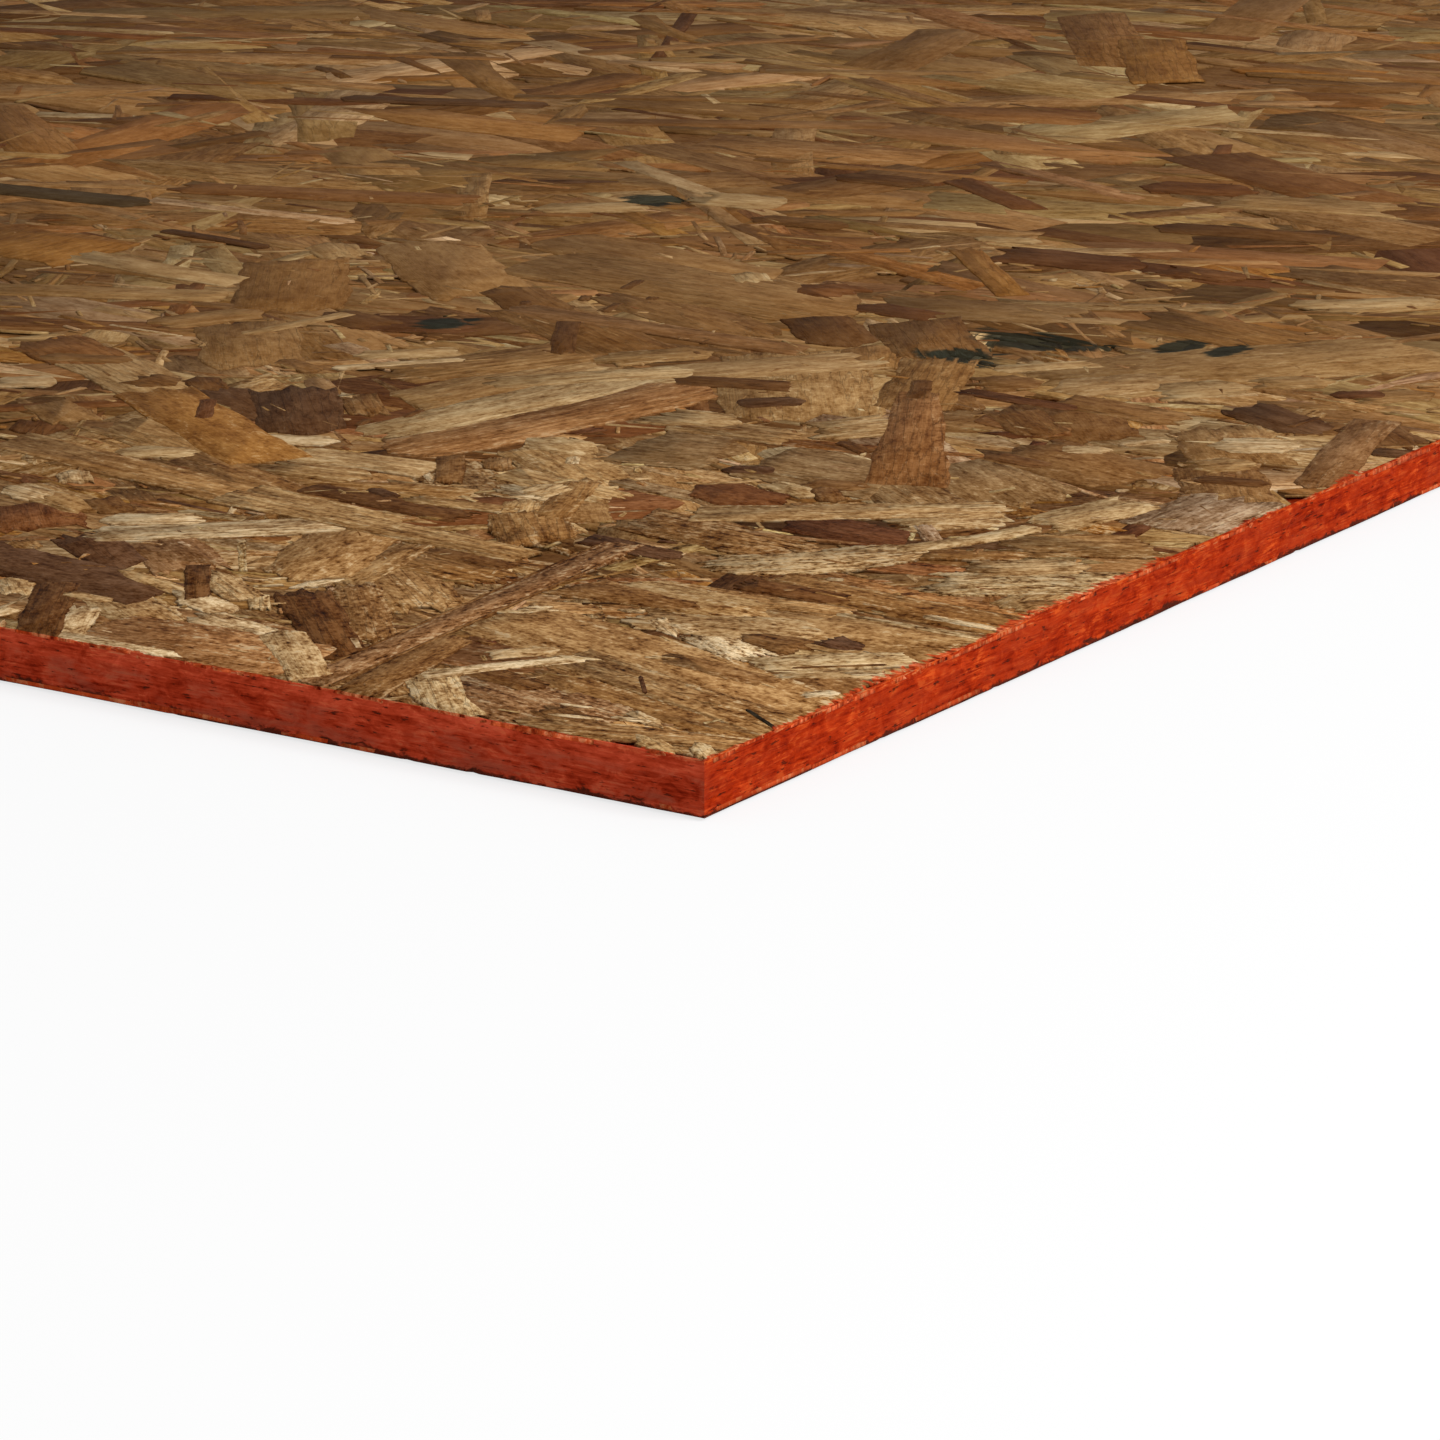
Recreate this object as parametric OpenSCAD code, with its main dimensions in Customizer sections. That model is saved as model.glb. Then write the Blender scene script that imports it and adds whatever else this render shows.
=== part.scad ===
// Oriented strand board (OSB) sheathing panel, lying flat.
// One pressed sheet, sawn square on all four edges.
// The origin is the middle of the underside: X runs along the strength axis, Y across it, Z up.

/* [Sheet] */
// Length along the strength axis, the way most of the face strands lie
sheet_length = 2435; // [600:1:3660]
// Width across the strength axis
sheet_width = 1216; // [300:1:1525]
// Thickness of the pressed mat
sheet_thickness = 11.1; // [6:0.1:38]

/* [Hidden] */
strand_brown = "#8B6A43";

// The whole board: strands, wax and resin pressed into one solid.
module osb_board() {
    color(strand_brown)
        linear_extrude(height = sheet_thickness)
            square([sheet_length, sheet_width], center = true);
}

osb_board();
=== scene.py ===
"""Oriented strand board sheathing panel: loose strands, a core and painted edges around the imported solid.

The sheet lies flat with its underside on the floor at z = 0. X runs along the strength axis, the way most
face strands lie, and Y runs across it. Every size is in metres.
"""

import logging
import math
from dataclasses import dataclass, fields, replace
from enum import Enum
from functools import reduce

import bpy
import numpy as np
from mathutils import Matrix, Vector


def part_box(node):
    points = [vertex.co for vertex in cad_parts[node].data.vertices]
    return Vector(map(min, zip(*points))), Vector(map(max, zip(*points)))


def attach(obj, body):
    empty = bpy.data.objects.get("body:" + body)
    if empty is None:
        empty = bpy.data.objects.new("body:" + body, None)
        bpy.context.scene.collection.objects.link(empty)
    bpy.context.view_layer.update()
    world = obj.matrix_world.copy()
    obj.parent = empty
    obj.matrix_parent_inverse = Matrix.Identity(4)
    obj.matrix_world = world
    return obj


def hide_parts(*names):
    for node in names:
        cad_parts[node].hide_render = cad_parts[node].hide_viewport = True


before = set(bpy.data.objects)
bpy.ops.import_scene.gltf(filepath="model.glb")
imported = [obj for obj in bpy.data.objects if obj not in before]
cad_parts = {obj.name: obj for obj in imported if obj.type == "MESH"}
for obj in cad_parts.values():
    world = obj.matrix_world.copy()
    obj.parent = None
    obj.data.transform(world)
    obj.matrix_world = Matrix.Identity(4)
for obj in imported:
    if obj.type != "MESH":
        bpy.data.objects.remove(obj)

LOG = logging.getLogger("strand_board")
BODY = "root"
NODE = "osb_board"
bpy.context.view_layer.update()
BOARD_LOW, BOARD_HIGH = (np.array(corner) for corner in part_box(NODE))
MM = 0.001
SEED = 7016
FLAT = 1e6  # a cell size that leaves the third axis out of a pattern
WHITE = (1.0, 1.0, 1.0, 1.0)

Pair = tuple[float, float]
Triple = tuple[float, float, float]


class Slot(Enum):
    """The record's material slots."""

    STRANDS = "face_strands"
    SEALER = "edge_sealer"


class WoodTone(Enum):
    """The colours that strands come in, each with its share of the strands laid at random."""

    BONE = ((0.57, 0.40, 0.215), 0.03)
    CREAM = ((0.49, 0.325, 0.155), 0.06)
    PALE = ((0.43, 0.266, 0.118), 0.10)
    SAND = ((0.385, 0.223, 0.088), 0.125)
    TAN = ((0.345, 0.185, 0.068), 0.15)
    KHAKI = ((0.30, 0.16, 0.058), 0.155)
    ASH = ((0.262, 0.150, 0.062), 0.04)
    SHELL = ((0.33, 0.205, 0.115), 0.01)
    MAUVE = ((0.264, 0.128, 0.050), 0.02)
    PINK = ((0.345, 0.162, 0.058), 0.025)
    OCHRE = ((0.33, 0.145, 0.033), 0.03)
    AMBER = ((0.315, 0.137, 0.041), 0.025)
    HONEY = ((0.27, 0.13, 0.040), 0.09)
    HAZEL = ((0.23, 0.11, 0.036), 0.08)
    CHESTNUT = ((0.235, 0.096, 0.029), 0.04)
    UMBER = ((0.175, 0.077, 0.023), 0.045)
    COCOA = ((0.12, 0.046, 0.013), 0.02)
    RUSSET = ((0.16, 0.054, 0.016), 0.025)
    OXBLOOD = ((0.115, 0.037, 0.013), 0.01)
    PLUM = ((0.098, 0.041, 0.0175), 0.01)
    SLATE = ((0.034, 0.025, 0.013), 0.0)

    @property
    def colour(self) -> Triple:
        """The tone's base colour, linear."""
        return self.value[0]

    @property
    def share(self) -> float:
        """The tone's share of the strands."""
        return self.value[1]


(
    BONE, CREAM, PALE, SAND, TAN, KHAKI, ASH, SHELL, MAUVE, PINK, OCHRE,
    AMBER, HONEY, HAZEL, CHESTNUT, UMBER, COCOA, RUSSET, OXBLOOD, PLUM, SLATE,
) = WoodTone
PALE_TONES = (BONE, CREAM, PALE)


class EndCut(Enum):
    """How a strand ends: slant, point, rounding and tearing, each in strand widths."""

    SQUARE = (0.05, 0.0, 0.0, 0.12)
    BLUNT = (-0.12, 0.0, 0.0, 0.25)
    SLANT = (0.45, 0.0, 0.0, 0.20)
    STEEP = (-0.8, 0.0, 0.0, 0.25)
    POINT = (0.1, 0.7, 0.0, 0.2)
    ROUND = (0.0, 0.0, 0.4, 0.08)
    TORN = (0.15, 0.2, 0.0, 0.8)
    SHARP = (0.3, 2.4, 0.0, 0.5)


SQUARE, BLUNT, SLANT, STEEP, POINT, ROUND, TORN, SHARP = EndCut


# ---------------------------------------------------------------- shader expressions


class Wire:
    """One output of a node, with arithmetic that adds Math nodes."""

    def __init__(self, graph: "Graph", socket: bpy.types.NodeSocket) -> None:
        """Keeps the socket and the graph that new nodes go in.

        Args:
            graph: the graph that the socket belongs to.
            socket: the output socket.
        """
        self.graph = graph
        self.socket = socket

    def _math(self, operation: str, first: "Wire | float", second: "Wire | float") -> "Wire":
        """One Math node on two values.

        Args:
            operation: the Math node's operation.
            first: its first value.
            second: its second value.

        Returns:
            The node's output.
        """
        return self.graph.node("ShaderNodeMath", {"operation": operation}, {0: first, 1: second})

    def __add__(self, other: "Wire | float") -> "Wire":
        """self + other."""
        return self._math("ADD", self, other)

    def __radd__(self, other: float) -> "Wire":
        """other + self."""
        return self._math("ADD", other, self)

    def __sub__(self, other: "Wire | float") -> "Wire":
        """self - other."""
        return self._math("SUBTRACT", self, other)

    def __rsub__(self, other: float) -> "Wire":
        """other - self."""
        return self._math("SUBTRACT", other, self)

    def __mul__(self, other: "Wire | float") -> "Wire":
        """self * other."""
        return self._math("MULTIPLY", self, other)

    def __rmul__(self, other: float) -> "Wire":
        """other * self."""
        return self._math("MULTIPLY", other, self)

    def __pow__(self, other: "Wire | float") -> "Wire":
        """self to the power of other."""
        return self._math("POWER", self, other)

    def __abs__(self) -> "Wire":
        """The value without its sign."""
        return self._math("ABSOLUTE", self, 0.0)

    def lowest(self, other: "Wire | float") -> "Wire":
        """The lower of self and other."""
        return self._math("MINIMUM", self, other)

    def highest(self, other: "Wire | float") -> "Wire":
        """The higher of self and other."""
        return self._math("MAXIMUM", self, other)

    def step(self, low: float, high: float) -> "Wire":
        """Rises smoothly from 0 at low to 1 at high, or falls if low is above high.

        Args:
            low: the value that gives 0.
            high: the value that gives 1.

        Returns:
            The smooth step.
        """
        settings = {"interpolation_type": "SMOOTHSTEP", "clamp": True}
        if low > high:
            values = {"Value": self, "From Min": high, "From Max": low, "To Min": 1.0, "To Max": 0.0}
        else:
            values = {"Value": self, "From Min": low, "From Max": high, "To Min": 0.0, "To Max": 1.0}
        return self.graph.node("ShaderNodeMapRange", settings, values)


class Graph:
    """A material's or the world's node tree, filled by expressions."""

    def __init__(self, owner: bpy.types.Material | bpy.types.World) -> None:
        """Empties the owner's node tree.

        Args:
            owner: the material or the world.
        """
        self.owner = owner
        self.owner.use_nodes = True
        self.tree = self.owner.node_tree
        self.tree.nodes.clear()

    def node(
        self, kind: str, settings: dict | None = None, inputs: dict | None = None, output: int | str = 0
    ) -> Wire:
        """Adds any node.

        Args:
            kind: the node's type.
            settings: its properties, which are set first.
            inputs: values or wires by socket name or number.
            output: the output socket's name or number.

        Returns:
            The output, as a wire.
        """
        made = self.tree.nodes.new(kind)
        for name, value in (settings or {}).items():
            setattr(made, name, value)
        for name, value in (inputs or {}).items():
            if isinstance(value, Wire):
                self.tree.links.new(value.socket, made.inputs[name])
            else:
                made.inputs[name].default_value = value
        return Wire(self, made.outputs[output]) if len(made.outputs) else Wire(self, None)

    def mix(self, factor: Wire | float, first: object, second: object) -> Wire:
        """Mixes two colours.

        Args:
            factor: the second colour's share.
            first: the first colour, as a wire or four numbers.
            second: the second colour.

        Returns:
            The mixed colour.
        """
        settings = {"data_type": "RGBA", "blend_type": "MIX", "clamp_result": False}
        return self.node("ShaderNodeMix", settings, {0: factor, 6: first, 7: second}, 2)

    def tint(self, colour: object, amount: Wire, powers: Triple) -> Wire:
        """A colour lit or darkened so that it pales as it brightens and deepens as it darkens.

        Args:
            colour: the colour.
            amount: its brightness, 1 leaving it as it is.
            powers: the power the amount is raised to for red, green and blue.

        Returns:
            The colour times the raised amounts.
        """
        amount = amount.highest(0.02)
        channels = {axis: amount ** power for axis, power in zip("XYZ", powers, strict=True)}
        raised = self.node("ShaderNodeCombineXYZ", None, channels)
        return self.node("ShaderNodeVectorMath", {"operation": "MULTIPLY"}, {0: colour, 1: raised})

    def stretched(self, place: Wire, size: Triple) -> Wire:
        """Coordinates counted in cells of a given size.

        Args:
            place: coordinates in metres.
            size: the cell's size in millimetres along each axis.

        Returns:
            The coordinates in cells.
        """
        scale = tuple(1.0 / (side * MM) for side in size)
        return self.node("ShaderNodeVectorMath", {"operation": "MULTIPLY"}, {0: place, 1: scale})

    def noise(self, place: Wire, size: Triple, detail: float, rough: float, warp: float = 0.0) -> Wire:
        """Soft noise from 0 to 1 with cells of a given size.

        Args:
            place: coordinates in metres.
            size: the cell's size in millimetres along each axis.
            detail: how many finer layers it has.
            rough: how strong the finer layers are.
            warp: how much the pattern is distorted.

        Returns:
            The noise.
        """
        flat = size[2] >= FLAT
        settings = {"noise_dimensions": "2D" if flat else "3D"}
        inputs = {
            "Vector": self.stretched(place, size), "Scale": 1.0, "Detail": detail,
            "Roughness": rough, "Distortion": warp,
        }
        return self.node("ShaderNodeTexNoise", settings, inputs)

    def splinters(self, place: Wire, size: Pair, warp: float) -> tuple[Wire, Wire]:
        """Long random cells, as a strand split into splinters.

        Args:
            place: coordinates in metres.
            size: a cell's length and width in millimetres.
            warp: how far the cells' sides wander, in cells.

        Returns:
            A random value for each cell, and the distance to the cell's side.
        """
        cells = self.stretched(place, (*size, FLAT))
        wavy = {"Vector": cells, "Detail": 3.0}
        wander = self.node("ShaderNodeTexNoise", {"noise_dimensions": "2D"}, wavy, 1)
        moved = self.node("ShaderNodeVectorMath", {"operation": "SCALE"}, {0: wander, "Scale": warp})
        moved = self.node("ShaderNodeVectorMath", {"operation": "ADD"}, {0: cells, 1: moved})
        inputs = {"Vector": moved, "Scale": 1.0}
        flat = {"voronoi_dimensions": "2D"}
        cell = self.node("ShaderNodeTexVoronoi", {**flat, "feature": "F1"}, inputs, "Color")
        side = self.node("ShaderNodeTexVoronoi", {**flat, "feature": "DISTANCE_TO_EDGE"}, inputs, "Distance")
        return self.split(cell, "X"), side

    def split(self, place: Wire, axis: str) -> Wire:
        """One coordinate of a vector.

        Args:
            place: the vector.
            axis: X, Y or Z.

        Returns:
            The coordinate.
        """
        return self.node("ShaderNodeSeparateXYZ", None, {0: place}, axis)

    def surface(self, colour: Wire, roughness: Wire, height: Wire, depth: float, sheen: float) -> None:
        """Ends the material in one Principled shader with a bump.

        Args:
            colour: the base colour.
            roughness: the roughness.
            height: the relief, 0 to 1.
            depth: what a height of 1 stands for, in metres.
            sheen: the specular level, the same all over.
        """
        bump = self.node("ShaderNodeBump", None, {"Height": height, "Distance": depth, "Strength": 1.0})
        inputs = {"Base Color": colour, "Roughness": roughness, "Normal": bump, "Specular IOR Level": sheen}
        shader = self.node("ShaderNodeBsdfPrincipled", None, inputs)
        self.node("ShaderNodeOutputMaterial", None, {"Surface": shader})


def rgba(colour: Triple) -> tuple[float, float, float, float]:
    """A colour with full alpha."""
    return (*colour, 1.0)


@dataclass(frozen=True)
class SealerPaint:
    """Red-orange sealer: mottled over strand ends, worn in places, painted shade in crevices and at its foot.
    """

    main: Triple = (0.341, 0.0240, 0.0027)
    bright: Triple = (0.60, 0.088, 0.013)
    dull: Triple = (0.24, 0.026, 0.008)
    pitted: Triple = (0.045, 0.012, 0.006)
    bare: Triple = (0.50, 0.30, 0.13)
    powers: Triple = (1.0, 1.7, 2.4)
    streaks: float = 1.0
    dullness: float = 0.45
    bright_top: float = 0.0

    def colour(self, graph: Graph, place: Wire) -> tuple[Wire, Wire]:
        """The paint's colour and its relief.

        Args:
            graph: the graph it goes in.
            place: object coordinates.

        Returns:
            The colour, and a height from 0 to 1.
        """
        layer = graph.noise(place, (18, 18, 1.5), 5.0, 0.64, 1.2)
        scratch = graph.noise(place, (7, 7, 0.5), 4.0, 0.62, 0.8)
        blotch = graph.noise(place, (5, 5, 2.8), 4.0, 0.68, 0.8)
        broad = graph.noise(place, (17, 17, 6), 3.0, 0.6, 0.6)
        pit = graph.noise(place, (3.2, 3.2, 0.9), 4.0, 0.62)
        z = graph.split(place, "Z")
        rise = (z + (broad - 0.5) * (6.0 * MM)).step(7.0 * MM, 8.6 * MM) * self.bright_top
        value = 1.0 + (layer * 0.6 + scratch * 0.4 - 0.5) * (2.6 * self.streaks) + (blotch - 0.5) * 2.05
        value = value + (broad - 0.5) * 0.5 + rise * 0.12
        body = graph.tint(self.main, value.lowest(1.7), self.powers)
        scraped = (scratch * 0.5 + blotch * 0.5).step(0.54, 0.62)
        body = graph.mix(scraped * 0.75 * self.streaks, body, rgba(self.bright))
        faded = (broad * 0.5 + blotch * 0.3 + scratch * 0.2).step(0.45, 0.61)
        body = graph.mix(faded * self.dullness * (1.0 - rise * 0.9), body, rgba(self.dull))
        # painted shade: cracks and pits darkened as if shade lay in them
        crack = (pit * 0.6 + scratch * 0.4).step(0.42, 0.35)
        body = graph.mix(crack * 0.85, body, rgba(self.pitted))
        # painted shade: a dark ragged band along the foot of the edge, where it meets the floor
        up = z + (blotch - 0.5) * (5.0 * MM)
        body = graph.mix(up.step(1.35 * MM, 0.6 * MM) * 0.85, body, rgba(self.pitted))
        top = up.step(10.1 * MM, 10.7 * MM)
        body = graph.mix(top * pit.step(0.50, 0.56) * 0.7, body, rgba(self.bright))
        body = graph.mix(top * scratch.step(0.55, 0.62) * 0.4, body, rgba(self.bare))
        height = layer * 0.4 + scratch * 0.4 + blotch * 0.5 - crack * 0.4
        return body, height


UNSHADED_PAINT = SealerPaint()
# painted light: the same sealer, paler, greyer and brighter towards the top, for the long edges in their soft
# shade
SHADED_PAINT = SealerPaint(
    main=(0.42, 0.041, 0.013),
    bright=(0.62, 0.11, 0.040),
    dull=(0.24, 0.055, 0.030),
    streaks=0.9,
    dullness=0.65,
    bright_top=1.0,
)


@dataclass(frozen=True)
class EdgeFinish:
    """The sawn edge: sealer paint over layered strand ends."""

    paint: SealerPaint = UNSHADED_PAINT
    roughness: float = 0.68
    relief: float = 0.34 * MM
    sheen: float = 0.015

    def build(self) -> bpy.types.Material:
        """Makes the material.

        Returns:
            The painted edge material.
        """
        graph = Graph(bpy.data.materials.new("edge_sealer"))
        place = graph.node("ShaderNodeTexCoord", None, None, "Object")
        colour, height = self.paint.colour(graph, place)
        gloss = graph.noise(place, (6, 6, 1.5), 2.0, 0.5) * 0.3 + (self.roughness - 0.15)
        graph.surface(colour, gloss, height, self.relief, self.sheen)
        return graph.owner


@dataclass(frozen=True)
class Stain:
    """A dark stain soaked into the top: its middle and its radii, in millimetres counted as for Laid."""

    middle: Pair
    radii: Pair
    soak: float = 4.0

    def reach(self, graph: Graph, place: Wire) -> Wire:
        """How far out each point lies, 1 being the stain's outline.

        Args:
            graph: the graph it goes in.
            place: object coordinates.

        Returns:
            The distance from the middle in radii.
        """
        away, along = self.middle
        middle = (float(BOARD_HIGH[0]) - along * MM, float(BOARD_LOW[1]) + away * MM, float(BOARD_HIGH[2]))
        size = (self.radii[1] * MM, self.radii[0] * MM, self.soak * MM)
        moved = {0: place, "Location": middle, "Scale": size}
        local = graph.node("ShaderNodeMapping", {"vector_type": "TEXTURE"}, moved)
        return graph.node("ShaderNodeVectorMath", {"operation": "LENGTH"}, {0: local}, "Value")


STAINS = (
    Stain((335.5, 127), (9.3, 15)),
    Stain((311, 134), (9, 13)),
    Stain((350.5, 95), (8.5, 4.4)),
    Stain((351, 83.5), (8, 3.8)),
    Stain((274, 257), (8, 7)),
    Stain((434, 303), (8, 8)),
)


@dataclass(frozen=True)
class StrandFinish:
    """Raw pressed wood: grain, splinters, painted shade in gaps, pores and at rims, paint lapped over the
    arris.
    """

    paint: SealerPaint = UNSHADED_PAINT
    pale: Triple = (0.60, 0.43, 0.24)
    dark: Triple = (0.050, 0.018, 0.005)
    lapped: Triple = (0.44, 0.045, 0.008)
    worn: Triple = (0.60, 0.27, 0.11)
    stained: Triple = (0.019, 0.021, 0.013)
    powers: Triple = (1.0, 1.33, 1.75)
    roughness: float = 0.72
    sheen: float = 0.02
    relief: float = 0.40 * MM
    short_edge_lap: float = 3.4 * MM
    long_edge_lap: float = 1.1 * MM

    def lap(self, graph: Graph, place: Wire) -> tuple[Wire, Wire]:
        """Where the sealer has run over the arris: near the sawn edges, ragged and patchy.

        Args:
            graph: the graph it goes in.
            place: object coordinates.

        Returns:
            1 where the paint lies, and 1 where bare fibres stand up along the arris.
        """
        to_short = float(BOARD_HIGH[0]) - abs(graph.split(place, "X"))
        to_long = float(BOARD_HIGH[1]) - abs(graph.split(place, "Y"))
        ragged = graph.noise(place, (5, 1.6, 5), 4.0, 0.75)
        drift = graph.noise(place, (26, 26, 26), 2.0, 0.5)
        reach = ((drift - 0.40) * 4.6).highest(0.04).lowest(1.1) * ((ragged - 0.36) * 5.0).highest(0.02)
        short = (to_short - reach * self.short_edge_lap).step(0.65 * MM, 0.15 * MM)
        long = (to_long - reach * self.long_edge_lap).step(0.42 * MM, 0.24 * MM)
        bare = to_short.lowest(to_long).step(0.8 * MM, 0.4 * MM) * ragged.step(0.50, 0.60)
        return short.highest(long), bare

    def build(self) -> bpy.types.Material:
        """Makes the material.

        Returns:
            The strand material.
        """
        graph = Graph(bpy.data.materials.new("face_strands"))
        grain = graph.node("ShaderNodeUVMap", {"uv_map": "Grain"})
        place = graph.node("ShaderNodeTexCoord", None, None, "Object")
        wood = graph.node("ShaderNodeAttribute", {"attribute_name": "wood"}, None, "Color")
        figure = graph.node("ShaderNodeAttribute", {"attribute_name": "figure"}, None, "Vector")
        spot = graph.node("ShaderNodeAttribute", {"attribute_name": "spot"}, None, "Vector")
        extent = graph.node("ShaderNodeAttribute", {"attribute_name": "extent"}, None, "Vector")
        streakiness, patchiness, contrast = (graph.split(figure, axis) for axis in "XYZ")
        to_end, to_side = ((1.0 - abs(graph.split(spot, axis))) * graph.split(extent, axis) for axis in "XY")
        border = to_end.lowest(to_side).step(2.4 * MM, 0.2 * MM)

        fibre = graph.noise(grain, (8, 0.35, FLAT), 2.0, 0.65)
        band = graph.noise(grain, (55, 1.6, FLAT), 2.0, 0.62, 0.4)
        cloud = graph.noise(grain, (26, 8, FLAT), 3.0, 0.62, 0.4)
        patch = graph.noise(grain, (7, 3.0, FLAT), 3.0, 0.64, 0.3)
        grit = graph.noise(grain, (1.6, 1.1, FLAT), 3.0, 0.62)
        soil = graph.noise(place, (46, 34, 46), 4.0, 0.64)
        splinter, seam = graph.splinters(grain, (24, 2.2), 0.5)
        lightness = (graph.split(wood, "X") * 6.0 - 1.0).lowest(1.0).highest(0.0)

        wild = patchiness + border * 0.4
        figured = ((fibre - 0.5) * 0.7 + (band - 0.5) * (streakiness * 1.4) + (cloud - 0.5) * 1.1
                   + (patch - 0.5) * (1.6 + wild * 1.4) + (grit - 0.5) * (1.7 + wild * 1.0) * contrast
                   + (splinter - 0.5) * (streakiness * 0.4))
        value = (1.0 + figured * contrast) * (0.5 + soil)
        colour = graph.tint(wood, value.lowest(1.6), self.powers)
        # pale torn fibres, plus a painted highlight along each strand's border where its raised edge catches
        # light
        torn_and_rim_lit = patch * 0.4 + grit * 0.4 + splinter * 0.1 + patchiness * 0.06 + border * 0.03
        torn = torn_and_rim_lit.step(0.55, 0.62) * lightness * (contrast * 1.28 - 0.5)
        colour = graph.mix(torn, colour, rgba(self.pale))
        # painted shade: splinter gaps and pores darkened as if shade lay in them
        gap = seam.step(0.06, 0.015) * (splinter + streakiness).step(0.9, 1.2)
        pore = (grit * 0.7 + patch * 0.3 - patchiness * 0.02).step(0.405, 0.345)
        hollow_shade = (gap * 0.4).highest(pore * (0.14 + patchiness * 0.5))
        colour = graph.mix(hollow_shade * contrast, colour, rgba(self.dark))
        # painted shade: a dark line at the foot of each strand's wall, the thin shadow where it stands over
        # its neighbour
        rim_shade = (graph.split(spot, "Z") * 5.0).lowest(1.0)
        colour = graph.mix(rim_shade * (0.2 + patch.step(0.42, 0.58) * 0.45) * contrast, colour, rgba(self.dark))
        bumps = (grit * 0.5 + patch * 0.7) * (0.5 + wild * 1.4) * contrast
        height = fibre * 0.25 + band * 0.25 + bumps - gap * 0.3

        near = 9.0
        for stain in STAINS:
            near = stain.reach(graph, place).lowest(near)
        ragged = (soil - 0.5) * 1.8 + (streakiness - 0.5) * 0.7 + (splinter - 0.5) * 0.5 + (patch - 0.5) * 0.3
        soaked = (near + ragged).step(1.12, 0.80)
        colour = graph.mix(soaked * 0.94, colour, graph.tint(self.stained, value, self.powers))
        painted, bare = self.lap(graph, place)
        colour = graph.mix(painted * 0.9, colour, graph.tint(self.lapped, value, self.paint.powers))
        colour = graph.mix(bare * 0.35, colour, graph.tint(self.worn, value, self.powers))
        gloss = self.roughness + (band - 0.5) * 0.3 - painted * 0.1
        graph.surface(colour, gloss, height, self.relief, self.sheen)
        return graph.owner


# ---------------------------------------------------------------- meshes as whole arrays


@dataclass
class MeshArrays:
    """A mesh and the values on it. Vertex arrays have a row a vertex, corner arrays a row a face corner.

    On strands, spot is the share along, the share across and 1 at the foot of the wall, which the strand
    material darkens as painted shade, and extent is the half length and the half width.
    """

    points: np.ndarray
    corners: np.ndarray
    face_sizes: np.ndarray
    grain: np.ndarray
    bake: np.ndarray
    wood: np.ndarray
    figure: np.ndarray
    spot: np.ndarray
    extent: np.ndarray

    @staticmethod
    def joined(parts: "list[MeshArrays]") -> "MeshArrays":
        """Several meshes as one.

        Args:
            parts: the meshes.

        Returns:
            The joined mesh.
        """
        starts = np.cumsum([0] + [len(part.points) for part in parts[:-1]])
        pairs = zip(parts, starts, strict=True)
        moved = [replace(part, corners=part.corners + start) for part, start in pairs]
        names = [field.name for field in fields(MeshArrays)]
        return MeshArrays(*(np.concatenate([getattr(part, name) for part in moved]) for name in names))

    def piece(self, name: str, material: bpy.types.Material, slot: Slot) -> bpy.types.Object:
        """Puts the arrays into a new object that rides on the board.

        Args:
            name: the piece's name.
            material: its material.
            slot: the record's material slot; not used.

        Returns:
            The object.
        """
        mesh = bpy.data.meshes.new(name)
        mesh.vertices.add(len(self.points))
        mesh.vertices.foreach_set("co", self.points.astype(np.float32).ravel())
        mesh.loops.add(len(self.corners))
        mesh.loops.foreach_set("vertex_index", self.corners.astype(np.int32))
        mesh.polygons.add(len(self.face_sizes))
        starts = np.concatenate([[0], np.cumsum(self.face_sizes)[:-1]])
        mesh.polygons.foreach_set("loop_start", starts.astype(np.int32))
        mesh.update(calc_edges=True)
        for layer, values in (("Grain", self.grain), ("OFBake", self.bake)):
            mesh.uv_layers.new(name=layer).uv.foreach_set("vector", values.astype(np.float32).ravel())
        opaque = np.ones((len(self.points), 1))
        wood = np.concatenate([self.wood, opaque], axis=1).astype(np.float32)
        mesh.attributes.new("wood", "FLOAT_COLOR", "POINT").data.foreach_set("color", wood.ravel())
        for layer, values in (("figure", self.figure), ("spot", self.spot), ("extent", self.extent)):
            vectors = mesh.attributes.new(layer, "FLOAT_VECTOR", "POINT")
            vectors.data.foreach_set("vector", values.astype(np.float32).ravel())
        mesh.materials.append(material)
        made = bpy.data.objects.new(name, mesh)
        bpy.context.scene.collection.objects.link(made)
        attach(made, BODY)
        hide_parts(NODE)
        triangles = int((self.face_sizes - 2).sum())
        LOG.info("%s: %d vertices, %d triangles", name, len(self.points), triangles)
        return made


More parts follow.
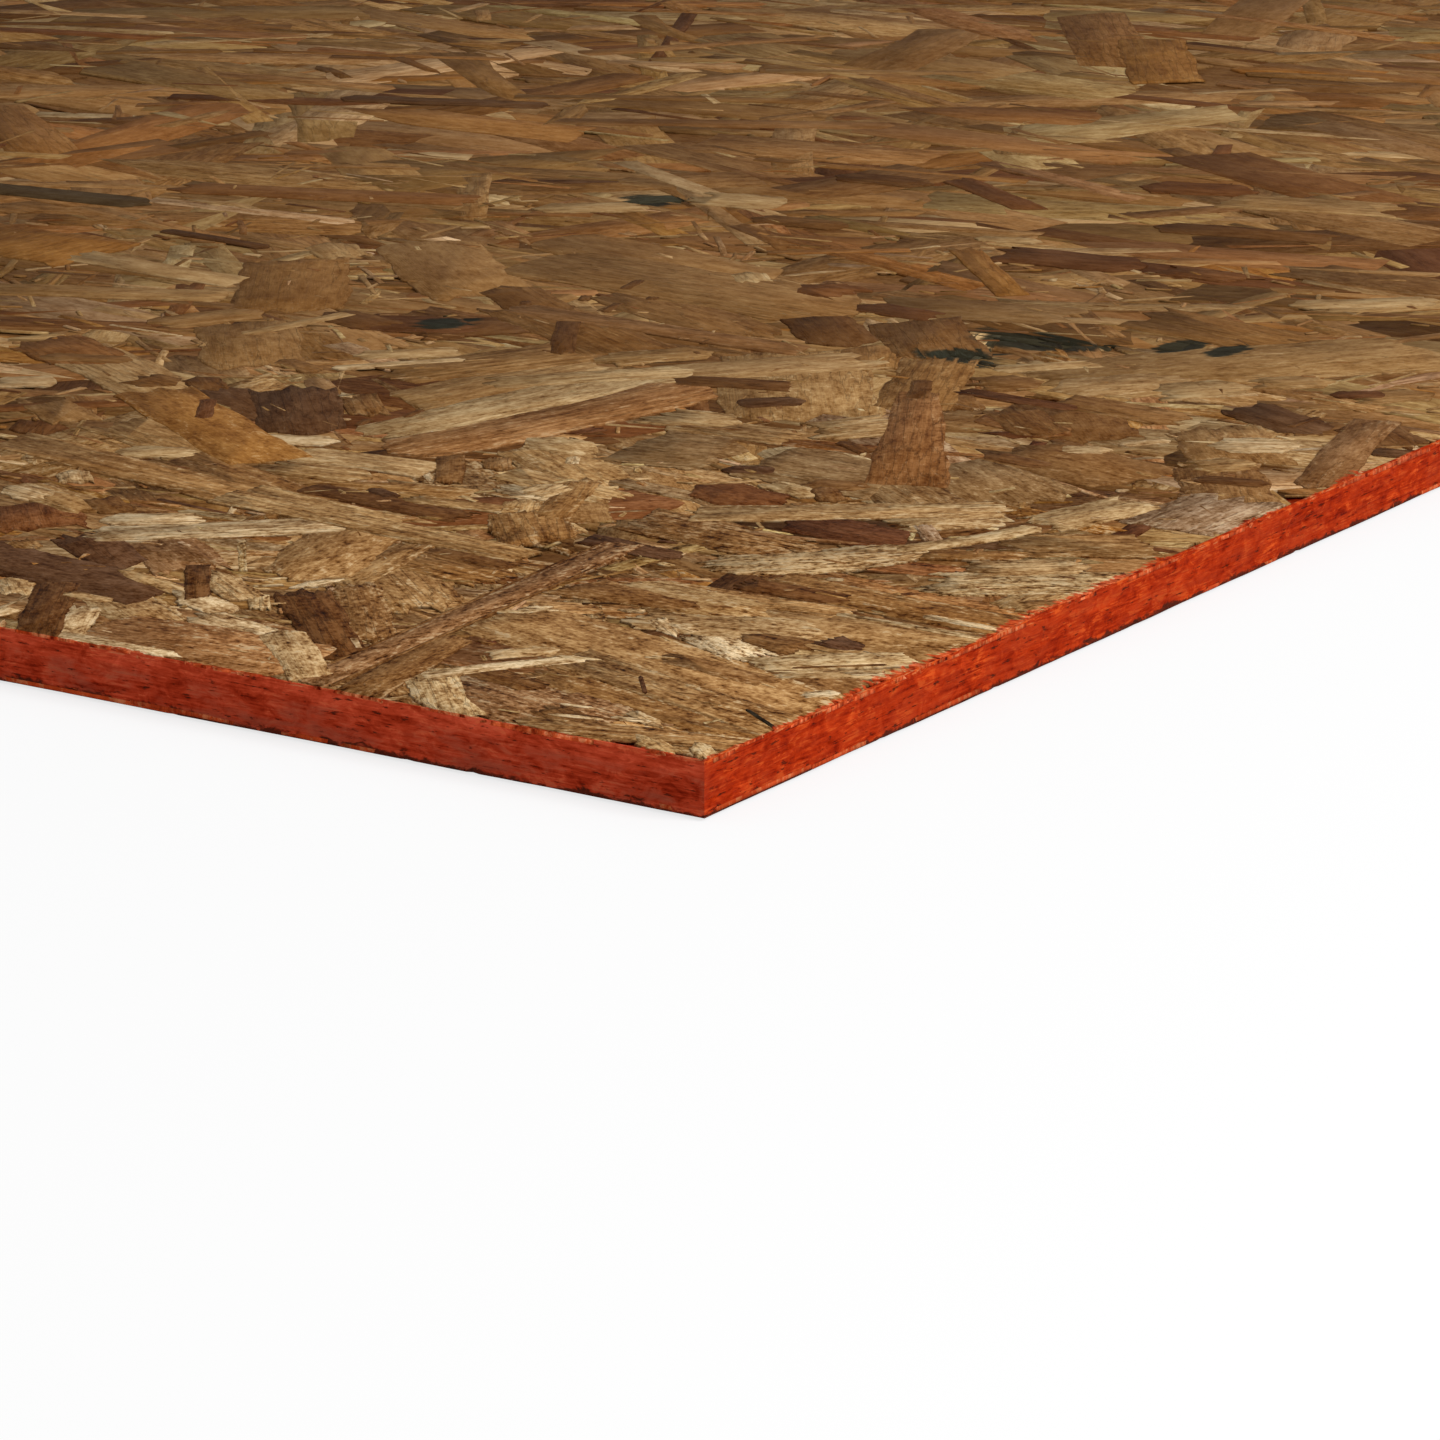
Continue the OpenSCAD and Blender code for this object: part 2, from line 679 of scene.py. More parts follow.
@dataclass
class StrandLot:
    """A lot of strands, one row a strand, all with outlines of the same number of points.

    A strand has a middle, a heading from +X, a length along the grain, a width and a thickness. Its depth is
    how far its top lies under the face, its tilt how far its far end and its left side rise over its middle,
    and its split the share of its width that may be broken away along one side.
    """

    middle: np.ndarray
    heading: np.ndarray
    length: np.ndarray
    width: np.ndarray
    depth: np.ndarray
    tilt: np.ndarray
    thick: np.ndarray
    near_end: np.ndarray
    far_end: np.ndarray
    taper: np.ndarray
    bow: np.ndarray
    split: np.ndarray
    wood: np.ndarray
    figure: np.ndarray
    side_points: int
    end_points: int

    @property
    def count(self) -> int:
        """How many strands there are."""
        return len(self.length)

    @property
    def half(self) -> np.ndarray:
        """Half the length and half the width of each."""
        return np.stack([self.length, self.width], 1) / 2

    @property
    def ahead(self) -> np.ndarray:
        """The direction along each strand."""
        return np.stack([np.cos(self.heading), np.sin(self.heading)], 1)

    @property
    def aside(self) -> np.ndarray:
        """The direction across each strand, to its left."""
        return np.stack([-np.sin(self.heading), np.cos(self.heading)], 1)

    def chosen(self, keep: np.ndarray) -> "StrandLot":
        """Some of the strands.

        Args:
            keep: True for each strand to keep.

        Returns:
            The strands kept.
        """
        kept = {name: value[keep] for name, value in vars(self).items() if isinstance(value, np.ndarray)}
        return StrandLot(**kept, side_points=self.side_points, end_points=self.end_points)


def outline_frame(side_points: int, end_points: int) -> tuple[np.ndarray, np.ndarray]:
    """The points of a strand's outline on the square from -1 to 1, anticlockwise from the near right corner.

    The right side runs forwards at -1, the far end runs across, the left side runs back at 1, and the near
    end closes it. Sides hold their corners, ends only the points between.

    Args:
        side_points: points on each side.
        end_points: points on each end.

    Returns:
        Each point's share along and across.
    """
    run = np.linspace(-1.0, 1.0, side_points)
    cross = np.linspace(-1.0, 1.0, end_points + 2)[1:-1]
    along = np.concatenate([run, np.ones(end_points), run[::-1], -np.ones(end_points)])
    across = np.concatenate([-np.ones(side_points), cross, np.ones(side_points), -cross])
    return along, across


END_LIMIT = 0.8  # the most of its half length that a strand's end cut may take
SPLIT_REACH = 0.6  # how far out from a strand's middle a split may begin, as a share
ROUGHNESS = 0.022  # how far a strand's sides wander at random, as a share of its half width
WAVE = 0.05  # how far they wander as a slow sine
SWINGS = (0.8, 2.2)  # how many half turns that sine makes from the middle to the end


def strand_outlines(lot: StrandLot, rng: np.random.Generator) -> tuple[np.ndarray, np.ndarray]:
    """Each strand's outline in metres along and across its own middle.

    Along is the half length times the share along, drawn back at each end by slant times across, point times
    the size of across, rounding times one less the root of one less across squared, and a random tear. Across
    is the half width times the share across, narrowed towards one end by the taper, split off in a random
    step on one side, roughened at random and by a slow sine, and bowed by one less the square of the share
    along.

    Args:
        lot: the strands.
        rng: the random numbers.

    Returns:
        Along and across, a row a strand and a column a point.
    """
    share, cross = outline_frame(lot.side_points, lot.end_points)
    shape = (lot.count, len(share))
    half_length, half_width = lot.length[:, None] / 2, lot.width[:, None] / 2
    at_far, at_near = share > 0.999, share < -0.999
    pull = np.zeros(shape)
    for end, at in ((lot.far_end, at_far), (lot.near_end, at_near)):
        slant, point, round_off, tear = (end[:, k : k + 1] for k in range(4))
        bend = 1.0 - np.sqrt(np.maximum(1.0 - cross**2, 0.0))
        drawn = slant * (1.0 + cross) / 2 + point * np.abs(cross) + round_off * bend
        drawn = np.where(slant < 0, -slant * (1.0 - cross) / 2 + point * np.abs(cross), drawn)
        drawn = drawn + tear * rng.random(shape)
        corner_right, corner_left = drawn[:, at & (cross < -0.999)], drawn[:, at & (cross > 0.999)]
        reach = np.clip((share if at is at_far else -share), 0.0, 1.0)
        side = np.where(cross < 0, corner_right, corner_left)
        pull += np.where(at, drawn, side * reach) * (1.0 if at is at_far else -1.0)
    limit = half_length / half_width * END_LIMIT
    along = half_length * share - half_width * np.clip(pull, -limit, limit)
    narrow = 1.0 + lot.taper[:, None] * share
    step_at = rng.uniform(-SPLIT_REACH, SPLIT_REACH, (lot.count, 1))
    step_side = rng.choice((-1.0, 1.0), (lot.count, 1))
    step_way = rng.choice((-1.0, 1.0), (lot.count, 1))
    step_size = np.clip(rng.uniform(-0.5, 1.0, (lot.count, 1)), 0.0, 1.0) * lot.split[:, None]
    stepped = (share * step_way > step_at) & (cross * step_side > 0)
    swing, turn = rng.uniform(*SWINGS, (lot.count, 1)), rng.uniform(0.0, 2 * np.pi, (lot.count, 1))
    wave = np.sin(np.pi * swing * share + turn + 2.0 * np.sign(cross))
    rough = 1.0 + rng.normal(0.0, ROUGHNESS, shape) + WAVE * wave
    across = half_width * cross * narrow * rough * (1.0 - step_size * stepped)
    return along, across + lot.bow[:, None] * (1.0 - share**2)


LEAST_SLOPE = 0.1  # a strand that meets a cut at a flatter slope counts as meeting it at this one
LEAST_KEPT = 0.02  # the least of a strand that a cut leaves, as a share
OUTER_SHARE = 0.93  # the points this far out are those that land on the cut


def trimmed(
    lot: StrandLot, along: np.ndarray, across: np.ndarray, normal: np.ndarray, limit: np.ndarray
) -> tuple[np.ndarray, np.ndarray]:
    """Saws the strands off along one edge of the sheet.

    Each strand that reaches past the edge is shortened towards its far side, along its length if it crosses
    the edge more than it follows it, and across its width otherwise, so that its outermost points land on the
    cut.

    Args:
        lot: the strands.
        along: the outlines' places along each strand.
        across: the outlines' places across each strand.
        normal: the edge's outward direction.
        limit: the cut's place along that direction, one for each strand.

    Returns:
        The shortened places along and across.
    """
    ahead, aside = lot.ahead @ normal, lot.aside @ normal
    room = limit[:, None] - (lot.middle @ normal)[:, None]
    places = [along.copy(), across.copy()]
    lengthwise = np.abs(ahead) >= np.abs(aside)
    for axis, slope, other_slope, size, rows in (
        (0, ahead, aside, lot.length, lengthwise),
        (1, aside, ahead, lot.width, ~lengthwise),
    ):
        mine, other = places[axis], places[1 - axis]
        slope_safe = np.where(np.abs(slope) < LEAST_SLOPE, LEAST_SLOPE, slope)[:, None]
        sign = np.sign(slope_safe)
        cut = (room - other * other_slope[:, None]) / slope_safe
        far = -sign * (np.abs(mine).max(1, keepdims=True))
        natural = sign * np.abs(mine).max(1, keepdims=True)
        keep = np.clip((cut - far) / (natural - far), LEAST_KEPT, 1.0)
        shorter = far + (mine - far) * keep
        beyond = (mine - cut) * sign > 0
        outer = sign * mine > OUTER_SHARE * np.abs(natural)
        shorter = np.where(beyond & outer & (keep < 1.0) & (keep > LEAST_KEPT), cut, shorter)
        crossing = rows & beyond.any(1)
        places[axis] = np.where(crossing[:, None], shorter, mine)
    return places[0], places[1]


def shelf_pack(length: np.ndarray, width: np.ndarray, margin: float) -> tuple[np.ndarray, float]:
    """Lays rectangles out on shelves, widest first, in a near square.

    The lengths are laid end to end and wrapped every shelf. A shelf is as high as its widest rectangle.

    Args:
        length: the rectangles' lengths.
        width: the rectangles' widths.
        margin: the gap between them.

    Returns:
        Each rectangle's lower corner, and the side of the square that holds them all.
    """
    long, wide = length + margin, width + margin
    order = np.argsort(-wide, kind="stable")
    longest = long.max()
    shelf_length = max(math.sqrt(float((long * wide).sum())) - longest / 2, longest)
    run = np.cumsum(long[order]) - long[order]
    shelf = np.floor(run / shelf_length).astype(int)
    heights = np.zeros(shelf.max() + 1)
    np.maximum.at(heights, shelf, wide[order])
    base = np.concatenate([[0.0], np.cumsum(heights)[:-1]])
    corner = np.zeros((len(length), 2))
    corner[order, 0] = run - shelf * shelf_length
    corner[order, 1] = base[shelf]
    side = max(shelf_length + longest, float(heights.sum()))
    return corner, side


@dataclass(frozen=True)
class Slab:
    """How a strand's outline becomes a closed slab.

    The skirt is how far its walls lean out, and the sawn depth how far short of a cut it ends. On the bake
    map its top and walls take the top share, and its hidden underside the hidden share beyond a gap.
    """

    skirt: float = 0.30 * MM
    sawn_depth: Pair = (0.005 * MM, 0.28 * MM)
    grain_spread: float = 12.0
    hidden_share: float = 0.07
    top_share: float = 0.92
    map_gap: float = 0.005

    def mesh(
        self,
        lot: StrandLot,
        rng: np.random.Generator,
        corner: np.ndarray,
        side: float,
        face: float,
        up: float,
    ) -> MeshArrays:
        """Each strand as a slab: its outline on the face, walls that lean out, and its outline below.

        A top point lies at the middle, plus its place along times the heading, plus its place across times
        the heading turned left, at the face less the depth, plus the tilt times its shares. A bottom point
        lies a skirt further out and a thickness lower.

        Args:
            lot: the strands.
            rng: the random numbers.
            corner: each strand's lower corner on the bake map, in metres.
            side: the bake map's side, in metres.
            face: the height of the face.
            up: 1 for the top face, -1 for the underside.

        Returns:
            The strands' mesh.
        """
        along, across = strand_outlines(lot, rng)
        edges = (
            ((1.0, 0.0), BOARD_HIGH[0]), ((-1.0, 0.0), -BOARD_LOW[0]),
            ((0.0, 1.0), BOARD_HIGH[1]), ((0.0, -1.0), -BOARD_LOW[1]),
        )
        ragged = rng.uniform(*self.sawn_depth, lot.count)
        for normal, limit in edges:
            along, across = trimmed(lot, along, across, np.array(normal), float(limit) - ragged)
        half = lot.half
        out_along = along * (1.0 + self.skirt / half[:, :1])
        out_across = across * (1.0 + self.skirt / half[:, 1:])
        ahead, aside = lot.ahead[:, None, :], lot.aside[:, None, :]
        rings = []
        for ring_along, ring_across, drop in ((along, across, 0.0), (out_along, out_across, 1.0)):
            flat = lot.middle[:, None, :] + ring_along[..., None] * ahead + ring_across[..., None] * aside
            inset = ragged[:, None, None]
            flat = np.clip(flat, BOARD_LOW[:2] + inset, BOARD_HIGH[:2] - inset)
            rise = lot.tilt[:, :1] * along / half[:, :1] + lot.tilt[:, 1:] * across / half[:, 1:]
            deep = lot.depth[:, None] - rise + drop * lot.thick[:, None]
            height = np.clip(face - up * deep, BOARD_LOW[2], BOARD_HIGH[2])
            rings.append(np.concatenate([flat, height[..., None]], axis=2))
        return self._closed(lot, rings, (along, across, out_along, out_across), rng, corner, side, up)

    def _closed(
        self,
        lot: StrandLot,
        rings: list[np.ndarray],
        places: tuple[np.ndarray, np.ndarray, np.ndarray, np.ndarray],
        rng: np.random.Generator,
        corner: np.ndarray,
        side: float,
        up: float,
    ) -> MeshArrays:
        """Joins two rings of points into closed slabs, with their maps and values.

        Args:
            lot: the strands.
            rings: the top and the bottom points.
            places: the rings' places along and across, top then bottom.
            rng: the random numbers.
            corner: each strand's lower corner on the bake map.
            side: the bake map's side.
            up: 1 for the top face, -1 for the underside.

        Returns:
            The slabs.
        """
        number, ring = lot.count, rings[0].shape[1]
        top, nxt = np.arange(ring), np.roll(np.arange(ring), -1)
        walls = np.stack([top, top + ring, nxt + ring, nxt], 1).ravel()
        order = np.concatenate([top, walls, (top + ring)[::-1]])
        sizes = np.concatenate([[ring], np.full(ring, 4), [ring]])
        if up < 0:
            bounds = np.cumsum(np.concatenate([[0], sizes]))
            order = np.concatenate([order[a:b][::-1] for a, b in zip(bounds[:-1], bounds[1:], strict=True)])
        hidden = np.concatenate([np.zeros(ring + ring * 4, bool), np.ones(ring, bool)])
        starts = (np.arange(number) * 2 * ring)[:, None]
        both_along = np.concatenate([places[0], places[2]], axis=1)
        both_across = np.concatenate([places[1], places[3]], axis=1)
        start = rng.uniform(0.0, self.grain_spread, (number, 2))
        grain = np.stack([both_along + start[:, :1], both_across + start[:, 1:]], 2)
        spread = lot.half + 2 * self.skirt
        laid = (np.stack([both_along, both_across], 2) + (spread + corner)[:, None, :]) / side
        on_map = laid[:, order] * self.top_share
        on_map[:, hidden] = self.top_share + self.map_gap + laid[:, order][:, hidden] * self.hidden_share
        share, cross = outline_frame(lot.side_points, lot.end_points)
        # the bottom ring is marked 1, the wall's foot, which the strand material darkens as painted shade
        spot = np.stack([np.tile(share, 2), np.tile(cross, 2), np.repeat([0.0, 1.0], ring)], 1)
        extent = np.concatenate([lot.half, np.zeros((number, 1))], 1)
        return MeshArrays(
            points=np.concatenate(rings, axis=1).reshape(-1, 3),
            corners=(starts + order).ravel(),
            face_sizes=np.tile(sizes, number),
            grain=grain[:, order].reshape(-1, 2),
            bake=on_map.reshape(-1, 2),
            wood=np.repeat(lot.wood, 2 * ring, axis=0),
            figure=np.repeat(lot.figure, 2 * ring, axis=0),
            spot=np.tile(spot, (number, 1)),
            extent=np.repeat(extent, 2 * ring, axis=0),
        )


@dataclass(frozen=True)
class StrandKind:
    """A size class of strands: how long, wide and deep-lying they are, and how finely they are outlined.

    Pale multiplies the share of pale tones, stray is the share that points anywhere, and scatter, lean,
    taper, bow, lightness and hue are spreads of bell curves.
    """

    length: Pair
    width: Pair
    depth: Pair
    thick: float
    side_points: int
    end_points: int
    pale: float = 1.0
    stray: float = 0.3
    scatter: float = 0.50
    lean: float = 0.05 * MM
    split: float = 0.45
    taper: float = 0.07
    bow: Pair = (1.2 * MM, 100 * MM)
    lightness: float = 0.10
    hue: float = 0.035

    def scattered(
        self, rng: np.random.Generator, number: int, low: np.ndarray, high: np.ndarray
    ) -> StrandLot:
        """Strands laid at random over a rectangle, most of them roughly along the sheet.

        A heading is drawn from a bell curve about the sheet's length, and a share of strays point anywhere.
        A bow grows with the length: its first number is the usual bow of a strand as long as its second.

        Args:
            rng: the random numbers.
            number: how many strands.
            low: the rectangle's lower corner.
            high: the rectangle's upper corner.

        Returns:
            The strands.
        """
        tones = list(WoodTone)
        share = np.array([tone.share * (self.pale if tone in PALE_TONES else 1.0) for tone in tones])
        picked = rng.choice(len(tones), number, p=share / share.sum())
        wood = np.array([tone.colour for tone in tones])[picked]
        wood = wood * np.exp(rng.normal(0.0, self.lightness, (number, 1)))
        wood = wood * np.exp(rng.normal(0.0, self.hue, (number, 3)))
        astray = rng.random(number) < self.stray
        anywhere = rng.uniform(-np.pi / 2, np.pi / 2, number)
        heading = np.where(astray, anywhere, rng.normal(0.0, self.scatter, number))
        ends = np.array([cut.value for cut in EndCut])
        tilt = rng.normal(0.0, self.lean, (number, 2))
        depth = rng.uniform(*self.depth, number) + np.abs(tilt).sum(1)
        usual_width = self.width[0] * 0.6 + self.width[1] * 0.4
        return StrandLot(
            middle=rng.uniform(low, high, (number, 2)),
            heading=heading,
            length=rng.triangular(self.length[0], sum(self.length) / 2, self.length[1], number),
            width=rng.triangular(self.width[0], usual_width, self.width[1], number),
            depth=depth,
            tilt=tilt,
            thick=np.full(number, self.thick),
            near_end=ends[rng.integers(len(ends), size=number)],
            far_end=ends[rng.integers(len(ends), size=number)],
            taper=rng.normal(0.0, self.taper, number),
            bow=rng.normal(0.0, self.bow[0], number) * self.length[1] / self.bow[1],
            split=np.full(number, self.split),
            wood=wood,
            figure=rng.random((number, 3)) ** (1.0, 2.0, 1.0),
            side_points=self.side_points,
            end_points=self.end_points,
        )


@dataclass(frozen=True)
class Laid:
    """A listed strand, in millimetres. Places are counted in from the long front and short right edges.

    Strands with a higher number in over lie on those with a lower one. Rough is how patchy and torn the
    strand's surface is, from 0 to 1.
    """

    start: Pair
    finish: Pair
    width: float
    tone: WoodTone
    near: EndCut = BLUNT
    far: EndCut = SLANT
    over: int = 3
    taper: float = 0.0
    bow: float = 0.0
    rough: float = 0.25


LAID_DEEPEST = 0.135  # how far the lowest laid strand lies under the face, in millimetres
LAID_CLIMB = 0.125  # how far the highest lies over the lowest, in millimetres
LAID_THICKNESS = 0.5  # in millimetres
LAID_SPLIT = 0.12  # the share of the width that may be broken away


def laid_lot(strands: list[Laid], rng: np.random.Generator, points: tuple[int, int]) -> StrandLot:
    """Turns listed strands into a lot.

    Args:
        strands: the strands.
        rng: the random numbers for their figure.
        points: how many points outline each side and each end.

    Returns:
        The lot.
    """
    number = len(strands)
    rank = np.argsort(np.argsort([strand.over for strand in strands], kind="stable"), kind="stable")
    ends = np.array([(strand.start, strand.finish) for strand in strands]) * MM
    place = np.stack([BOARD_HIGH[0] - ends[..., 1], BOARD_LOW[1] + ends[..., 0]], 2)
    run = place[:, 1] - place[:, 0]
    return StrandLot(
        middle=place.mean(1),
        heading=np.arctan2(run[:, 1], run[:, 0]),
        length=np.hypot(run[:, 0], run[:, 1]),
        width=np.array([strand.width for strand in strands]) * MM,
        depth=(LAID_DEEPEST - LAID_CLIMB * rank / number) * MM,
        tilt=np.zeros((number, 2)),
        thick=np.full(number, LAID_THICKNESS * MM),
        near_end=np.array([strand.near.value for strand in strands]),
        far_end=np.array([strand.far.value for strand in strands]),
        taper=np.array([strand.taper for strand in strands]),
        bow=np.array([strand.bow for strand in strands]) * MM,
        split=np.full(number, LAID_SPLIT),
        wood=np.array([strand.tone.colour for strand in strands]),
        figure=np.stack([rng.random(number), [strand.rough for strand in strands], np.ones(number)], 1),
        side_points=points[0],
        end_points=points[1],
    )


